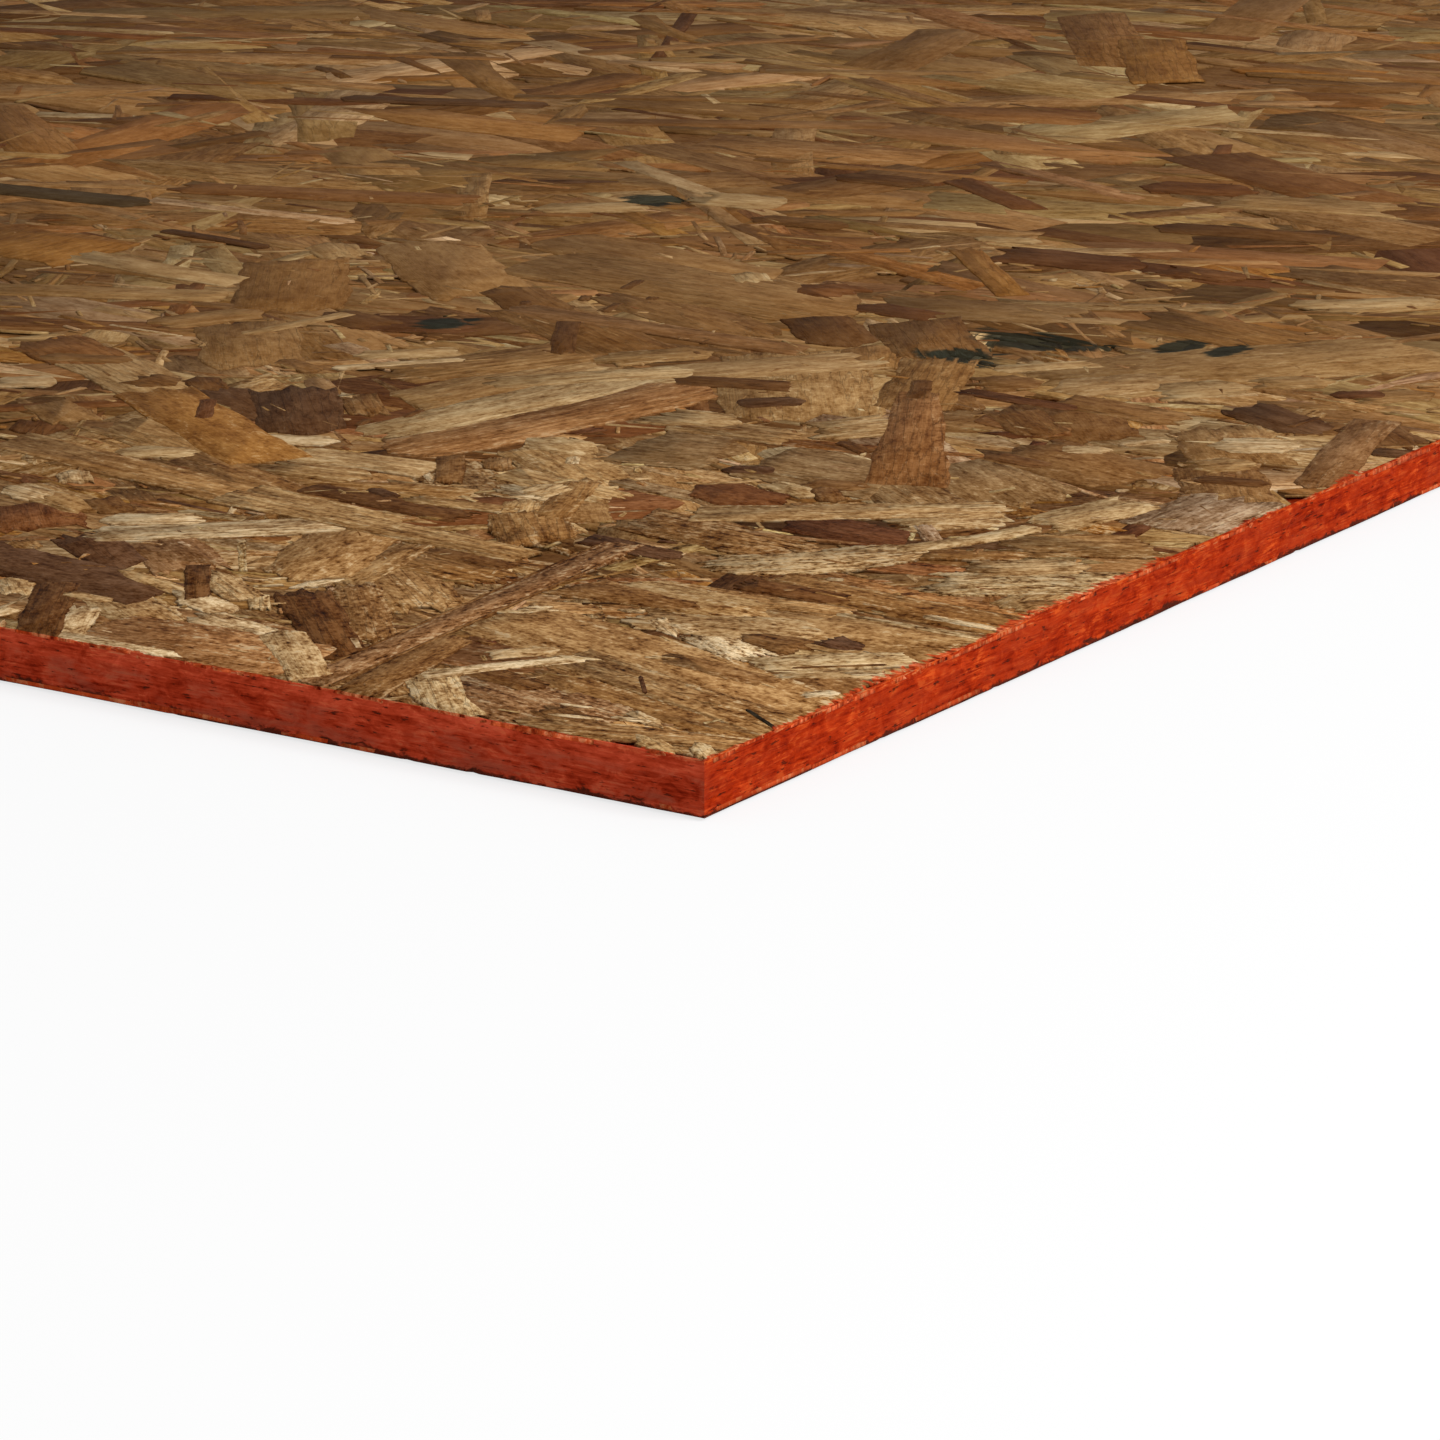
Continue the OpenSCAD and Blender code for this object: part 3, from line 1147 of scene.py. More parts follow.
LAID_STRANDS = (
    # by the corner
    Laid((50, -3), (60, 30), 16, HAZEL, over=0),
    Laid((36, -4), (62, 92), 25, TAN, over=1),
    Laid((88, -4), (84, 72), 27, KHAKI, far=POINT, over=1),
    Laid((108, -4), (112, 60), 14, HONEY, over=1),
    Laid((99, 30), (96, 78), 9, TAN, POINT, ROUND, 3),
    Laid((14, -3), (32, 61), 9, HONEY, SLANT, TORN, 3),
    Laid((25, -3), (44, 62), 13, KHAKI, BLUNT, SLANT, 2),
    Laid((8, 28), (19, 70), 23, MAUVE, ROUND, ROUND, 4, rough=0.8),
    Laid((22, 50), (27, 70), 8, UMBER, POINT, ROUND, 5),
    Laid((6, 31), (14, 45), 8, UMBER, ROUND, TORN, 5),
    Laid((-1, 53), (23, 76), 10, CREAM, SQUARE, ROUND, 6, bow=2),
    Laid((17, 75), (45, 56), 5, BONE, ROUND, POINT, 7, bow=1),
    Laid((35, 74), (47, 64), 6, PALE, TORN, POINT, 6),
    Laid((1, 44), (14, -3), 9, TAN, POINT, SQUARE, 6),
    Laid((0, 7), (8, 21), 5, SAND, TORN, SHARP, 7),
    Laid((13, 17), (19, 30), 4, PALE, SHARP, TORN, 7),
    Laid((2, 0), (10, 9), 4, CREAM, TORN, SHARP, 8),
    Laid((30, 33), (40, 41), 0.8, PLUM, SHARP, SHARP, 8),
    # painted shade: a thin near-black strand standing for the shade down a crack
    Laid((22, -3), (32, 12), 0.9, SLATE, SQUARE, SHARP, 8),
    Laid((61, 28), (72, 51), 10, BONE, TORN, TORN, 5, rough=0.9),
    Laid((73, 23), (75, 42), 10, UMBER, TORN, POINT, 6, -0.2),
    Laid((78, 15), (81, 27), 7, PLUM, POINT, TORN, 6, 0.2),
    Laid((86, 57), (87, 92), 11, HAZEL, POINT, STEEP, 4, 0.4),
    Laid((98, -3), (98, 34), 2.5, CREAM, SQUARE, POINT, 6),
    Laid((105, -3), (106, 19), 3, BONE, SQUARE, POINT, 6),
    Laid((57, 30), (79, 3), 10, CREAM, STEEP, SLANT, 6),
    Laid((54, 21), (67, 2), 6, PALE, TORN, SLANT, 5),
    Laid((60, 20), (72, 6), 1.3, UMBER, POINT, POINT, 7),
    Laid((49, 16), (54, 46), 7, HAZEL, TORN, TORN, 3),
    Laid((65, 87), (73, 83), 4, BONE, TORN, SHARP, 7),
    Laid((66, 50), (76, 62), 4, BONE, SHARP, TORN, 7),
    Laid((45, 9), (51, 3), 4, BONE, TORN, POINT, 6),
    Laid((71, 68), (85, 27), 15, PALE, POINT, POINT, 5, 0.2),
    Laid((142, 84), (147, 58), 1.6, MAUVE, SHARP, SHARP, 8),
    Laid((140, 32), (158, 10), 12, PALE, TORN, POINT, 4),
    # the long strip with two grooves, drawn as thin dark strands of painted shade, and what it crosses
    Laid((-3, 77), (45, 87), 10, HAZEL, SQUARE, POINT, 6),
    Laid((-1, 89.5), (122, 99.5), 8.5, MAUVE, SLANT, SLANT, 8, rough=0.7),
    Laid((14, 94.6), (117, 103.4), 0.8, UMBER, SHARP, SHARP, 9),
    Laid((2, 85.5), (104, 94), 0.8, UMBER, SHARP, SHARP, 9),
    Laid((3, 90), (29, 118), 9, PALE, STEEP, POINT, 9),
    Laid((17, 93), (56, 134), 11, COCOA, POINT, TORN, 5, 0.1),
    Laid((30, 96), (66, 128), 10, HAZEL, TORN, TORN, 4, rough=0.5),
    Laid((13, 97), (10, 150), 24, PINK, ROUND, ROUND, 5, rough=0.3),
    Laid((2.7, 120), (2.7, 153), 4, BONE, SHARP, POINT, 7),
    Laid((20, 106), (29, 140), 10, BONE, SLANT, TORN, 4),
    Laid((52, 100), (78, 132), 24, KHAKI, TORN, SLANT, 1),
    Laid((82, 102), (88, 138), 14, HONEY, TORN, BLUNT, 2),
    Laid((92, 108), (95, 131), 7, UMBER, ROUND, POINT, 4),
    # the dark pair on the front edge
    Laid((-3, 153), (33, 177), 9, COCOA, SQUARE, ROUND, 7),
    Laid((36, 152), (43, 212), 18, PLUM, BLUNT, SQUARE, 6),
    Laid((48, 172), (67, 201), 13, PLUM, POINT, TORN, 5),
    Laid((37, 145), (59, 162), 5, COCOA, STEEP, SQUARE, 8),
    Laid((39, 146), (47, 174), 5, SAND, SHARP, SHARP, 7),
    Laid((43, 137), (58, 160), 8, PALE, ROUND, SHARP, 7),
    Laid((33, 133), (41, 156), 8, BONE, POINT, SHARP, 7),
    Laid((38, 130), (48, 138), 4, CREAM, TORN, POINT, 6),
    Laid((54, 136), (67, 130), 4, BONE, SHARP, SHARP, 7),
    Laid((-2, 148), (22, 163), 10, BONE, SQUARE, TORN, 5),
    Laid((27, 158), (27, 171), 4, PALE, POINT, POINT, 8),
    Laid((20, 176), (31, 188), 7, PALE, TORN, POINT, 6),
    Laid((16, 136), (34, 166), 14, PALE, TORN, BLUNT, 3),
    Laid((50, 198), (55, 207), 6, KHAKI, POINT, TORN, 7),
    Laid((52, 156), (72, 184), 16, MAUVE, TORN, SLANT, 3),
    Laid((64, 198), (104, 155), 13, BONE, TORN, POINT, 6, rough=0.4),
    Laid((76, 203), (90, 184), 10, BONE, POINT, TORN, 7),
    Laid((58, 138), (103, 152), 20, TAN, POINT, SLANT, 4),
    Laid((62, 128), (98, 136), 10, KHAKI, TORN, SLANT, 3),
    Laid((60, 204), (82, 226), 20, RUSSET, TORN, SLANT, 5),
    Laid((82, 206), (92, 238), 12, SAND, TORN, POINT, 6),
    Laid((98, 226), (108, 236), 7, BONE, TORN, POINT, 7),
    Laid((84, 203), (92, 216), 8, UMBER, ROUND, TORN, 7),
    # grey strip, ochre strand and dark patches further in
    Laid((92, 86), (88, 42), 18, SAND, POINT, TORN, 3),
    Laid((214, 150), (219, 134), 2, HAZEL, SHARP, SHARP, 8),
    Laid((194, 166), (204, 162), 5, OXBLOOD, POINT, TORN, 8),
    Laid((134, 206), (138, 176), 14, SAND, TORN, POINT, 3),
    Laid((128, 124), (160, 137), 8, HONEY, TORN, SQUARE, 5),
    Laid((116, 7), (148, 6.8), 12, SAND, TORN, TORN, 1),
    Laid((184, 212), (201, 229), 9, HAZEL, TORN, SLANT, 4),
    Laid((196, 226), (200, 233), 4, BONE, SHARP, SHARP, 7),
    Laid((232, 316), (262, 302), 14, TAN, TORN, POINT, 4),
    Laid((258, 204), (284, 184), 14, SAND, TORN, POINT, 4),
    Laid((322, 64), (336, 46), 12, SAND, TORN, POINT, 5),
    Laid((85, 222), (89, 239), 10, BONE, TORN, POINT, 7),
    Laid((175, 209), (182, 211), 2.2, COCOA, POINT, POINT, 9),
    Laid((187, 205), (196, 206.5), 2, COCOA, POINT, POINT, 9),
    Laid((141, 140), (156, 139), 9, PALE, TORN, POINT, 6),
    Laid((129, 132), (141, 139), 8, SAND, TORN, POINT, 7),
    Laid((222, 123), (247, 107), 18, PALE, TORN, SLANT, 7),
    Laid((162, 68), (184, 48), 19, PALE, TORN, SLANT, 7, rough=0.5),
    Laid((281, 54), (284, 92), 14, HAZEL, TORN, SLANT, 5),
    Laid((301, 252), (306, 256), 3, COCOA, POINT, TORN, 8),
    Laid((314, 244), (320, 247), 2.5, COCOA, POINT, TORN, 8),
    Laid((306, 232), (317, 235), 2.5, COCOA, POINT, TORN, 8),
    Laid((323, 230), (328, 232), 3, COCOA, TORN, TORN, 8),
    Laid((330, 243), (343, 246), 3, COCOA, POINT, TORN, 8),
    Laid((355, 219), (366, 230), 9, CREAM, TORN, POINT, 8),
    Laid((322, 322), (338, 342), 14, PALE, TORN, POINT, 5),
    Laid((166, 226), (188, 262), 15, PLUM, TORN, POINT, 5),
    Laid((258, 262), (284, 240), 20, COCOA, TORN, SLANT, 4),
    Laid((284, 118), (300, 102), 15, HAZEL, TORN, POINT, 4),
    Laid((184, 98), (190, 82), 9, UMBER, TORN, POINT, 6),
    Laid((184, 257), (195, 271), 9, COCOA, TORN, POINT, 6),
    Laid((9, 41), (12, 30), 1.5, BONE, SHARP, TORN, 9),
    Laid((14, 30), (15.5, 20), 1.9, BONE, POINT, SHARP, 9),
    Laid((16, 43), (17, 35), 1.1, BONE, SHARP, SHARP, 9),
    Laid((11.6, 38), (13, 27), 1.1, COCOA, SHARP, SHARP, 9),
    Laid((67, 88), (70, 80), 2.2, BONE, TORN, SHARP, 8),
    Laid((62, 92), (66, 84), 1.6, CREAM, SHARP, SHARP, 8),
    Laid((77, 72), (79, 66), 2.2, BONE, SHARP, TORN, 8),
    Laid((74, 58), (72, 49), 2.6, BONE, SHARP, POINT, 8),
    Laid((51, 48), (54, 41), 1.6, CREAM, SHARP, SHARP, 8),
    Laid((42, 63), (45, 53), 1.4, CREAM, SHARP, SHARP, 8),
    Laid((62, 11), (66, 2), 2.4, BONE, SHARP, TORN, 8),
    Laid((56, 23), (61, 13), 1.4, CREAM, SHARP, SHARP, 8),
    Laid((142, 262), (156, 284), 12, KHAKI, TORN, SLANT, 4),
    Laid((262, 102), (276, 116), 10, UMBER, TORN, POINT, 4),
    Laid((300, 78), (322, 60), 16, CREAM, TORN, POINT, 6),
    Laid((240, 36), (256, 24), 12, SAND, TORN, POINT, 5),
    Laid((284, 36), (298, 20), 11, UMBER, TORN, POINT, 5),
    Laid((320, 36), (338, 22), 12, KHAKI, TORN, POINT, 5),
    Laid((284, 140), (312, 158), 16, HONEY, TORN, POINT, 4),
    Laid((101, 110), (108, 196), 11, SAND, SQUARE, SLANT, 6),
    Laid((109, 186), (123, 268), 14, TAN, TORN, SLANT, 5),
    Laid((109, 148), (115, 194), 9, SAND, POINT, SLANT, 5),
    Laid((120, 138), (123, 184), 9, COCOA, TORN, ROUND, 5),
    Laid((126, 162), (130, 172), 4, PLUM, POINT, POINT, 6),
    Laid((128, 144), (126, 158), 4, CREAM, ROUND, POINT, 6),
    Laid((108, 112), (134, 134), 17, HONEY, STEEP, SLANT, 3),
    Laid((137, 204), (179, 273), 19, OCHRE, SQUARE, TORN, 9),
    Laid((160, 212), (202, 249), 20, PLUM, POINT, TORN, 6),
    Laid((161, 242), (178, 254), 4, OXBLOOD, POINT, POINT, 9),
    Laid((184, 268), (186, 284), 12, UMBER, POINT, TORN, 9),
    Laid((161, 203), (152, 221), 9, BONE, POINT, SLANT, 7),
    Laid((126, 240), (136, 222), 10, CREAM, POINT, TORN, 6),
    Laid((146, 208), (151, 170), 13, PALE, POINT, SQUARE, 5),
    Laid((142, 160), (164, 175), 6, UMBER, TORN, SLANT, 9),
    Laid((146, 130), (147, 151), 14, BONE, SLANT, TORN, 4),
    Laid((192, 296), (208, 332), 20, CHESTNUT, POINT, TORN, 5),
    Laid((163, 308), (173, 295), 10, BONE, TORN, ROUND, 6),
    # the long pinkish strand and the block before it
    Laid((156, 188), (254, 166), 21, PINK, POINT, POINT, 8, bow=-3, rough=0.4),
    Laid((166, 200), (256, 184), 20, CREAM, TORN, SLANT, 7, rough=0.4),
    Laid((192, 152), (201, 112), 31, ASH, SLANT, TORN, 5),
    Laid((216, 152), (220, 116), 14, PALE, ROUND, TORN, 4),
    Laid((198, 118), (194, 76), 30, ASH, BLUNT, SLANT, 4),
    Laid((252, 178), (262, 148), 10, COCOA, STEEP, SLANT, 9),
    Laid((240, 150), (252, 138), 9, PLUM, ROUND, POINT, 9),
    Laid((236, 196), (300, 146), 19, PALE, POINT, TORN, 6),
    Laid((224, 212), (264, 176), 12, CREAM, TORN, POINT, 9),
    Laid((219, 250), (244, 229), 4, BONE, POINT, POINT, 7),
    Laid((232, 254), (252, 234), 9, CREAM, POINT, TORN, 5),
    Laid((193, 76), (274, 122), 14, CHESTNUT, SLANT, BLUNT, 9, -0.33, rough=0.1),
    Laid((266, 118), (284, 127), 5, COCOA, POINT, ROUND, 9),
    Laid((216, 100), (222, 111), 4, COCOA, SQUARE, POINT, 8),
    Laid((250, 74), (272, 98), 13, UMBER, POINT, TORN, 6),
    Laid((278, 82), (280, 116), 6, OXBLOOD, POINT, TORN, 7),
    Laid((226, 60), (229, 78), 7, COCOA, TORN, POINT, 8),
    Laid((214, 250), (220, 266), 6, HAZEL, POINT, POINT, 6),
    # dark diamonds and the pale curve
    Laid((152, 50), (157, 84), 16, OXBLOOD, POINT, POINT, 7, rough=0.2),
    Laid((164, 89), (171, 116), 16, RUSSET, POINT, POINT, 7, rough=0.2),
    Laid((148, 103), (190, 46), 13, PALE, SLANT, TORN, 8),
    Laid((176, 71), (191, 50), 3, CREAM, POINT, SQUARE, 9),
    Laid((174, 82), (184, 92), 6, UMBER, POINT, POINT, 9),
    Laid((181, 104), (176, 87), 7, CREAM, TORN, POINT, 8),
    Laid((134, 63), (140, 112), 19, HAZEL, TORN, SLANT, 3, rough=0.9),
    Laid((117, 83), (120, 110), 8, PLUM, POINT, SLANT, 6),
    Laid((107, 36), (108, 64), 9, COCOA, POINT, TORN, 4),
    Laid((112, 78), (152, 44), 17, PALE, TORN, POINT, 5, bow=-3, rough=0.9),
    Laid((146, 50), (180, 35), 6, CREAM, POINT, POINT, 6, bow=-1),
    Laid((178, 37), (213, 27), 14, CREAM, TORN, TORN, 5),
    Laid((126, 34), (150, -3), 18, CREAM, TORN, SQUARE, 2, rough=0.8),
    Laid((160, 38), (180, 6), 19, KHAKI, TORN, SLANT, 2),
    Laid((192, 12.4), (228, 12.2), 22, SHELL, SQUARE, TORN, 4, rough=0.45),
    Laid((146, 46), (158, 24), 7, HONEY, TORN, TORN, 3),
    Laid((157, 47), (168, 57), 4, SHELL, POINT, TORN, 7),
    Laid((124, 8), (130, 1), 4, HAZEL, TORN, POINT, 6),
    Laid((185, 119), (191, 108), 7, PLUM, POINT, ROUND, 6),
    Laid((171, 148), (178, 152), 3, BONE, TORN, POINT, 6),
    # by the right edge
    Laid((220, 163), (224, 137), 16, CREAM, TORN, POINT, 5),
    Laid((302, 120), (323, 101), 8, CREAM, POINT, TORN, 5),
    Laid((282, 2), (302, 24), 16, COCOA, TORN, POINT, 5),
    Laid((296, 240), (318, 272), 16, UMBER, TORN, POINT, 4),
    Laid((228, 124), (298, 172), 36, SAND, TORN, SLANT, 3),
    Laid((302, 132), (342, 166), 24, UMBER, TORN, SLANT, 5),
    Laid((252, 112), (312, 138), 18, HONEY, POINT, TORN, 4),
    Laid((192, 42), (222, 82), 28, ASH, TORN, SLANT, 2),
    Laid((226, 34), (240, 84), 26, HAZEL, SLANT, TORN, 2),
    Laid((248, 60), (286, 92), 24, UMBER, TORN, SLANT, 2),
    Laid((212, 6), (250, 32), 20, HAZEL, TORN, SLANT, 2),
    Laid((250, 24), (284, 52), 22, KHAKI, SLANT, TORN, 2),
    Laid((196, 214), (262, 198), 24, SAND, SLANT, TORN, 2),
    Laid((214, 236), (270, 210), 22, KHAKI, TORN, SLANT, 3),
    Laid((270, 196), (306, 262), 24, HAZEL, SLANT, TORN, 3),
    Laid((300, 180), (330, 246), 22, HAZEL, TORN, SLANT, 4),
    Laid((304, 160), (340, 196), 18, COCOA, POINT, TORN, 5),
    Laid((366, 128), (350, 182), 22, ASH, TORN, SLANT, 3),
    Laid((360, 60), (376, 126), 24, HONEY, SLANT, TORN, 3),
    Laid((206, 262), (250, 300), 24, KHAKI, TORN, SLANT, 3),
    Laid((176, 262), (206, 322), 20, PALE, SLANT, TORN, 3),
    Laid((256, 292), (320, 336), 28, HONEY, TORN, SLANT, 3),
    Laid((300, 262), (352, 322), 28, TAN, TORN, ROUND, 3),
    Laid((130, 206), (150, 262), 20, SAND, SLANT, TORN, 3),
    Laid((110, 168), (130, 226), 16, HONEY, TORN, SLANT, 3),
    Laid((156, 128), (182, 168), 20, SAND, TORN, SLANT, 2),
    Laid((128, 118), (162, 146), 18, KHAKI, SLANT, TORN, 2),
    Laid((178, 58), (200, 88), 18, ASH, TORN, SLANT, 3),
    Laid((158, 158), (168, 166), 6, HAZEL, POINT, TORN, 8),
    Laid((186, 171), (183, 149), 13, CREAM, POINT, TORN, 8),
    Laid((127, 161), (131, 133), 6, SAND, TORN, POINT, 6),
    Laid((150, 120), (158, 158), 12, SAND, TORN, SLANT, 4),
    Laid((292, 104), (382, 38), 38, SAND, TORN, SLANT, 4, bow=3, rough=0.4),
    Laid((290, 98), (322, 74), 19, PALE, POINT, TORN, 5, rough=0.4),
    Laid((286, 24), (302, 56), 15, PLUM, POINT, TORN, 7),
    Laid((288, 34), (301, 33), 2, COCOA, POINT, POINT, 8),
    Laid((262, 42), (275, 23), 14, BONE, POINT, POINT, 7),
    Laid((262, 100), (254, 70), 12, CHESTNUT, STEEP, POINT, 5),
    Laid((240, 3), (306, 21), 11, MAUVE, POINT, SQUARE, 6),
    Laid((322, 42), (330, 31), 7, OXBLOOD, POINT, ROUND, 7),
    Laid((278, 8), (281, -2), 7, PLUM, ROUND, SQUARE, 7),
    Laid((242, 66), (248, 56), 7, BONE, ROUND, POINT, 6),
    Laid((253, 58), (263, 50), 4, BONE, POINT, POINT, 6),
    Laid((234, 30), (239, 12), 7, COCOA, POINT, POINT, 5),
    # stained patches
    Laid((262, 282), (276, 244), 18, OXBLOOD, POINT, TORN, 5),
    Laid((262, 264), (268, 290), 13, COCOA, TORN, POINT, 6),
    Laid((236, 290), (270, 283), 5, PALE, POINT, SQUARE, 8),
    Laid((292, 233), (260, 213), 6, COCOA, SQUARE, TORN, 7),
    Laid((298, 256), (295, 166), 11, MAUVE, POINT, SLANT, 6),
    # the middle distance
    Laid((349, 284), (338, 176), 36, TAN, ROUND, POINT, 6),
    Laid((374, 296), (358, 214), 26, TAN, ROUND, POINT, 5),
    Laid((347, 185), (345, 158), 11, OXBLOOD, POINT, TORN, 7),
    Laid((360, 210), (356, 188), 16, RUSSET, POINT, TORN, 7),
    Laid((404, 324), (425, 297), 13, CREAM, POINT, TORN, 7),
    Laid((441, 298), (447, 270), 18, CREAM, TORN, ROUND, 7),
    Laid((421, 193), (427, 146), 19, OXBLOOD, TORN, POINT, 7),
    Laid((426, 145), (428, 118), 12, RUSSET, TORN, POINT, 6),
    Laid((422, 199), (378, 158), 8, OCHRE, TORN, SQUARE, 9),
    Laid((435, 204), (441, 186), 6, CREAM, POINT, POINT, 8),
    Laid((405, 96), (431, 66), 10, CREAM, POINT, TORN, 7),
    Laid((505, 252), (476, 209), 9, RUSSET, TORN, STEEP, 8),
    Laid((522, 204), (533, 170), 17, RUSSET, POINT, POINT, 7),
    Laid((490, 282), (493, 250), 13, COCOA, POINT, POINT, 7),
    Laid((475, 173), (486, 122), 13, COCOA, POINT, TORN, 6),
    Laid((516, 176), (531, 124), 20, SAND, SLANT, TORN, 5),
    Laid((426, 268), (430, 238), 11, UMBER, POINT, POINT, 6),
    Laid((346, 480), (353, 412), 13, SLATE, SQUARE, POINT, 8),
    Laid((327, 388), (324, 350), 5, PLUM, POINT, POINT, 8),
    Laid((375, 425), (406, 340), 15, CHESTNUT, TORN, TORN, 5),
    Laid((272, 404), (312, 404), 46, OCHRE, SLANT, SQUARE, 6),
    Laid((289, 388), (284, 327), 12, CREAM, TORN, SLANT, 7),
    Laid((244, 376), (270, 321), 13, SAND, SQUARE, ROUND, 6),
    Laid((191, 316), (200, 293), 8, HAZEL, POINT, POINT, 6),
    Laid((514, 472), (538, 410), 10, PLUM, POINT, POINT, 8),
    Laid((742, 322), (672, 276), 22, OCHRE, SQUARE, SLANT, 8),
)


@dataclass
class StrandMat:
    """One face of the sheet: strands of several kinds, sorted into lengthwise strips.

    Strands are laid up to overhang past the sheet's edges. From the first reach on, counted from the near
    corner, they turn over the fade reach from a bright tint to a dark one, a painted shade for the lamp's
    falloff, and lose a share of their own tone and contrast.
    """

    name: str
    up: float
    strips: int
    seed: int
    overhang: float = 35 * MM
    bend: float = 3 * MM
    hold: float = 0.35
    fresh_reach: float = 125 * MM
    fade_reach: float = 260 * MM
    # painted light: a bright tint near the corner and a dark one further off, standing for the lamp's falloff
    fresh: Triple = (1.035, 0.967, 0.895)
    weathered: Triple = (0.825, 0.750, 0.655)
    evenness: float = 0.2
    calmness: float = 0.56
    slab: Slab = Slab()

    def build(self, lots: list[StrandLot], material: bpy.types.Material) -> list[bpy.types.Object]:
        """Makes a piece of each strip.

        Args:
            lots: the strands.
            material: their material.

        Returns:
            The pieces.
        """
        rng = np.random.default_rng(self.seed)
        lots = [self.weather(lot) for lot in lots]
        face = float(BOARD_HIGH[2] if self.up > 0 else BOARD_LOW[2])
        strip_width = (BOARD_HIGH[1] - BOARD_LOW[1]) / self.strips
        made = []
        for strip in range(self.strips):
            parts = []
            for lot in lots:
                row = np.clip(np.floor((lot.middle[:, 1] - BOARD_LOW[1]) / strip_width), 0, self.strips - 1)
                parts.append(lot.chosen(row == strip))
            parts = [part for part in parts if part.count]
            length = np.concatenate([part.length for part in parts])
            width = np.concatenate([part.width for part in parts])
            corner, side = shelf_pack(length, width, 5 * self.slab.skirt)
            starts = np.cumsum([0] + [part.count for part in parts])
            meshes = [
                self.slab.mesh(part, rng, corner[a:b], side, face, self.up)
                for part, a, b in zip(parts, starts[:-1], starts[1:], strict=True)
            ]
            joined = MeshArrays.joined(meshes)
            made.append(joined.piece(f"{self.name}_{strip + 1}", material, Slot.STRANDS))
        return made

    def scatter(self, rng: np.random.Generator, kinds: tuple[tuple[StrandKind, int], ...]) -> list[StrandLot]:
        """Strands of several kinds over the whole face.

        Args:
            rng: the random numbers.
            kinds: each kind and how many strands it has.

        Returns:
            The lots.
        """
        reach = np.array([self.overhang, self.overhang])
        low, high = BOARD_LOW[:2] - reach, BOARD_HIGH[:2] + reach
        return [self.inside(kind.scattered(rng, number, low, high)) for kind, number in kinds]

    def weather(self, lot: StrandLot) -> StrandLot:
        """Darkens strands away from the near corner as painted shade for the lamp's falloff, and calms them.

        Args:
            lot: the strands.

        Returns:
            The same strands, shaded by a share that grows evenly with the distance from that corner.
        """
        away = np.hypot(BOARD_HIGH[0] - lot.middle[:, 0], lot.middle[:, 1] - BOARD_LOW[1])
        share = np.clip((away - self.fresh_reach) / self.fade_reach, 0.0, 1.0)[:, None]
        if self.up < 0:
            share = np.ones((lot.count, 1))
        wood = lot.wood + (lot.wood.mean(0) - lot.wood) * share * self.evenness
        wood = wood * (np.array(self.fresh) * (1.0 - share) + np.array(self.weathered) * share)
        figure = np.concatenate([lot.figure[:, :2], 1.0 - share * self.calmness], 1)
        return replace(lot, wood=wood, figure=figure)

    def inside(self, lot: StrandLot) -> StrandLot:
        """Drops strands that would lie mostly off the sheet, or run off it along a sawn edge.

        Args:
            lot: the strands.

        Returns:
            Those that hold on.
        """
        ahead = np.abs(lot.ahead)
        reach, aside = ahead * lot.length[:, None] / 2, ahead[:, ::-1] * lot.width[:, None] / 2
        past = np.abs(lot.middle) - BOARD_HIGH[:2]
        sidelong = ahead[:, ::-1] > ahead
        astray = sidelong & (past + reach - aside > -self.bend)
        return lot.chosen((past < self.hold * reach).all(1) & ~astray.any(1))


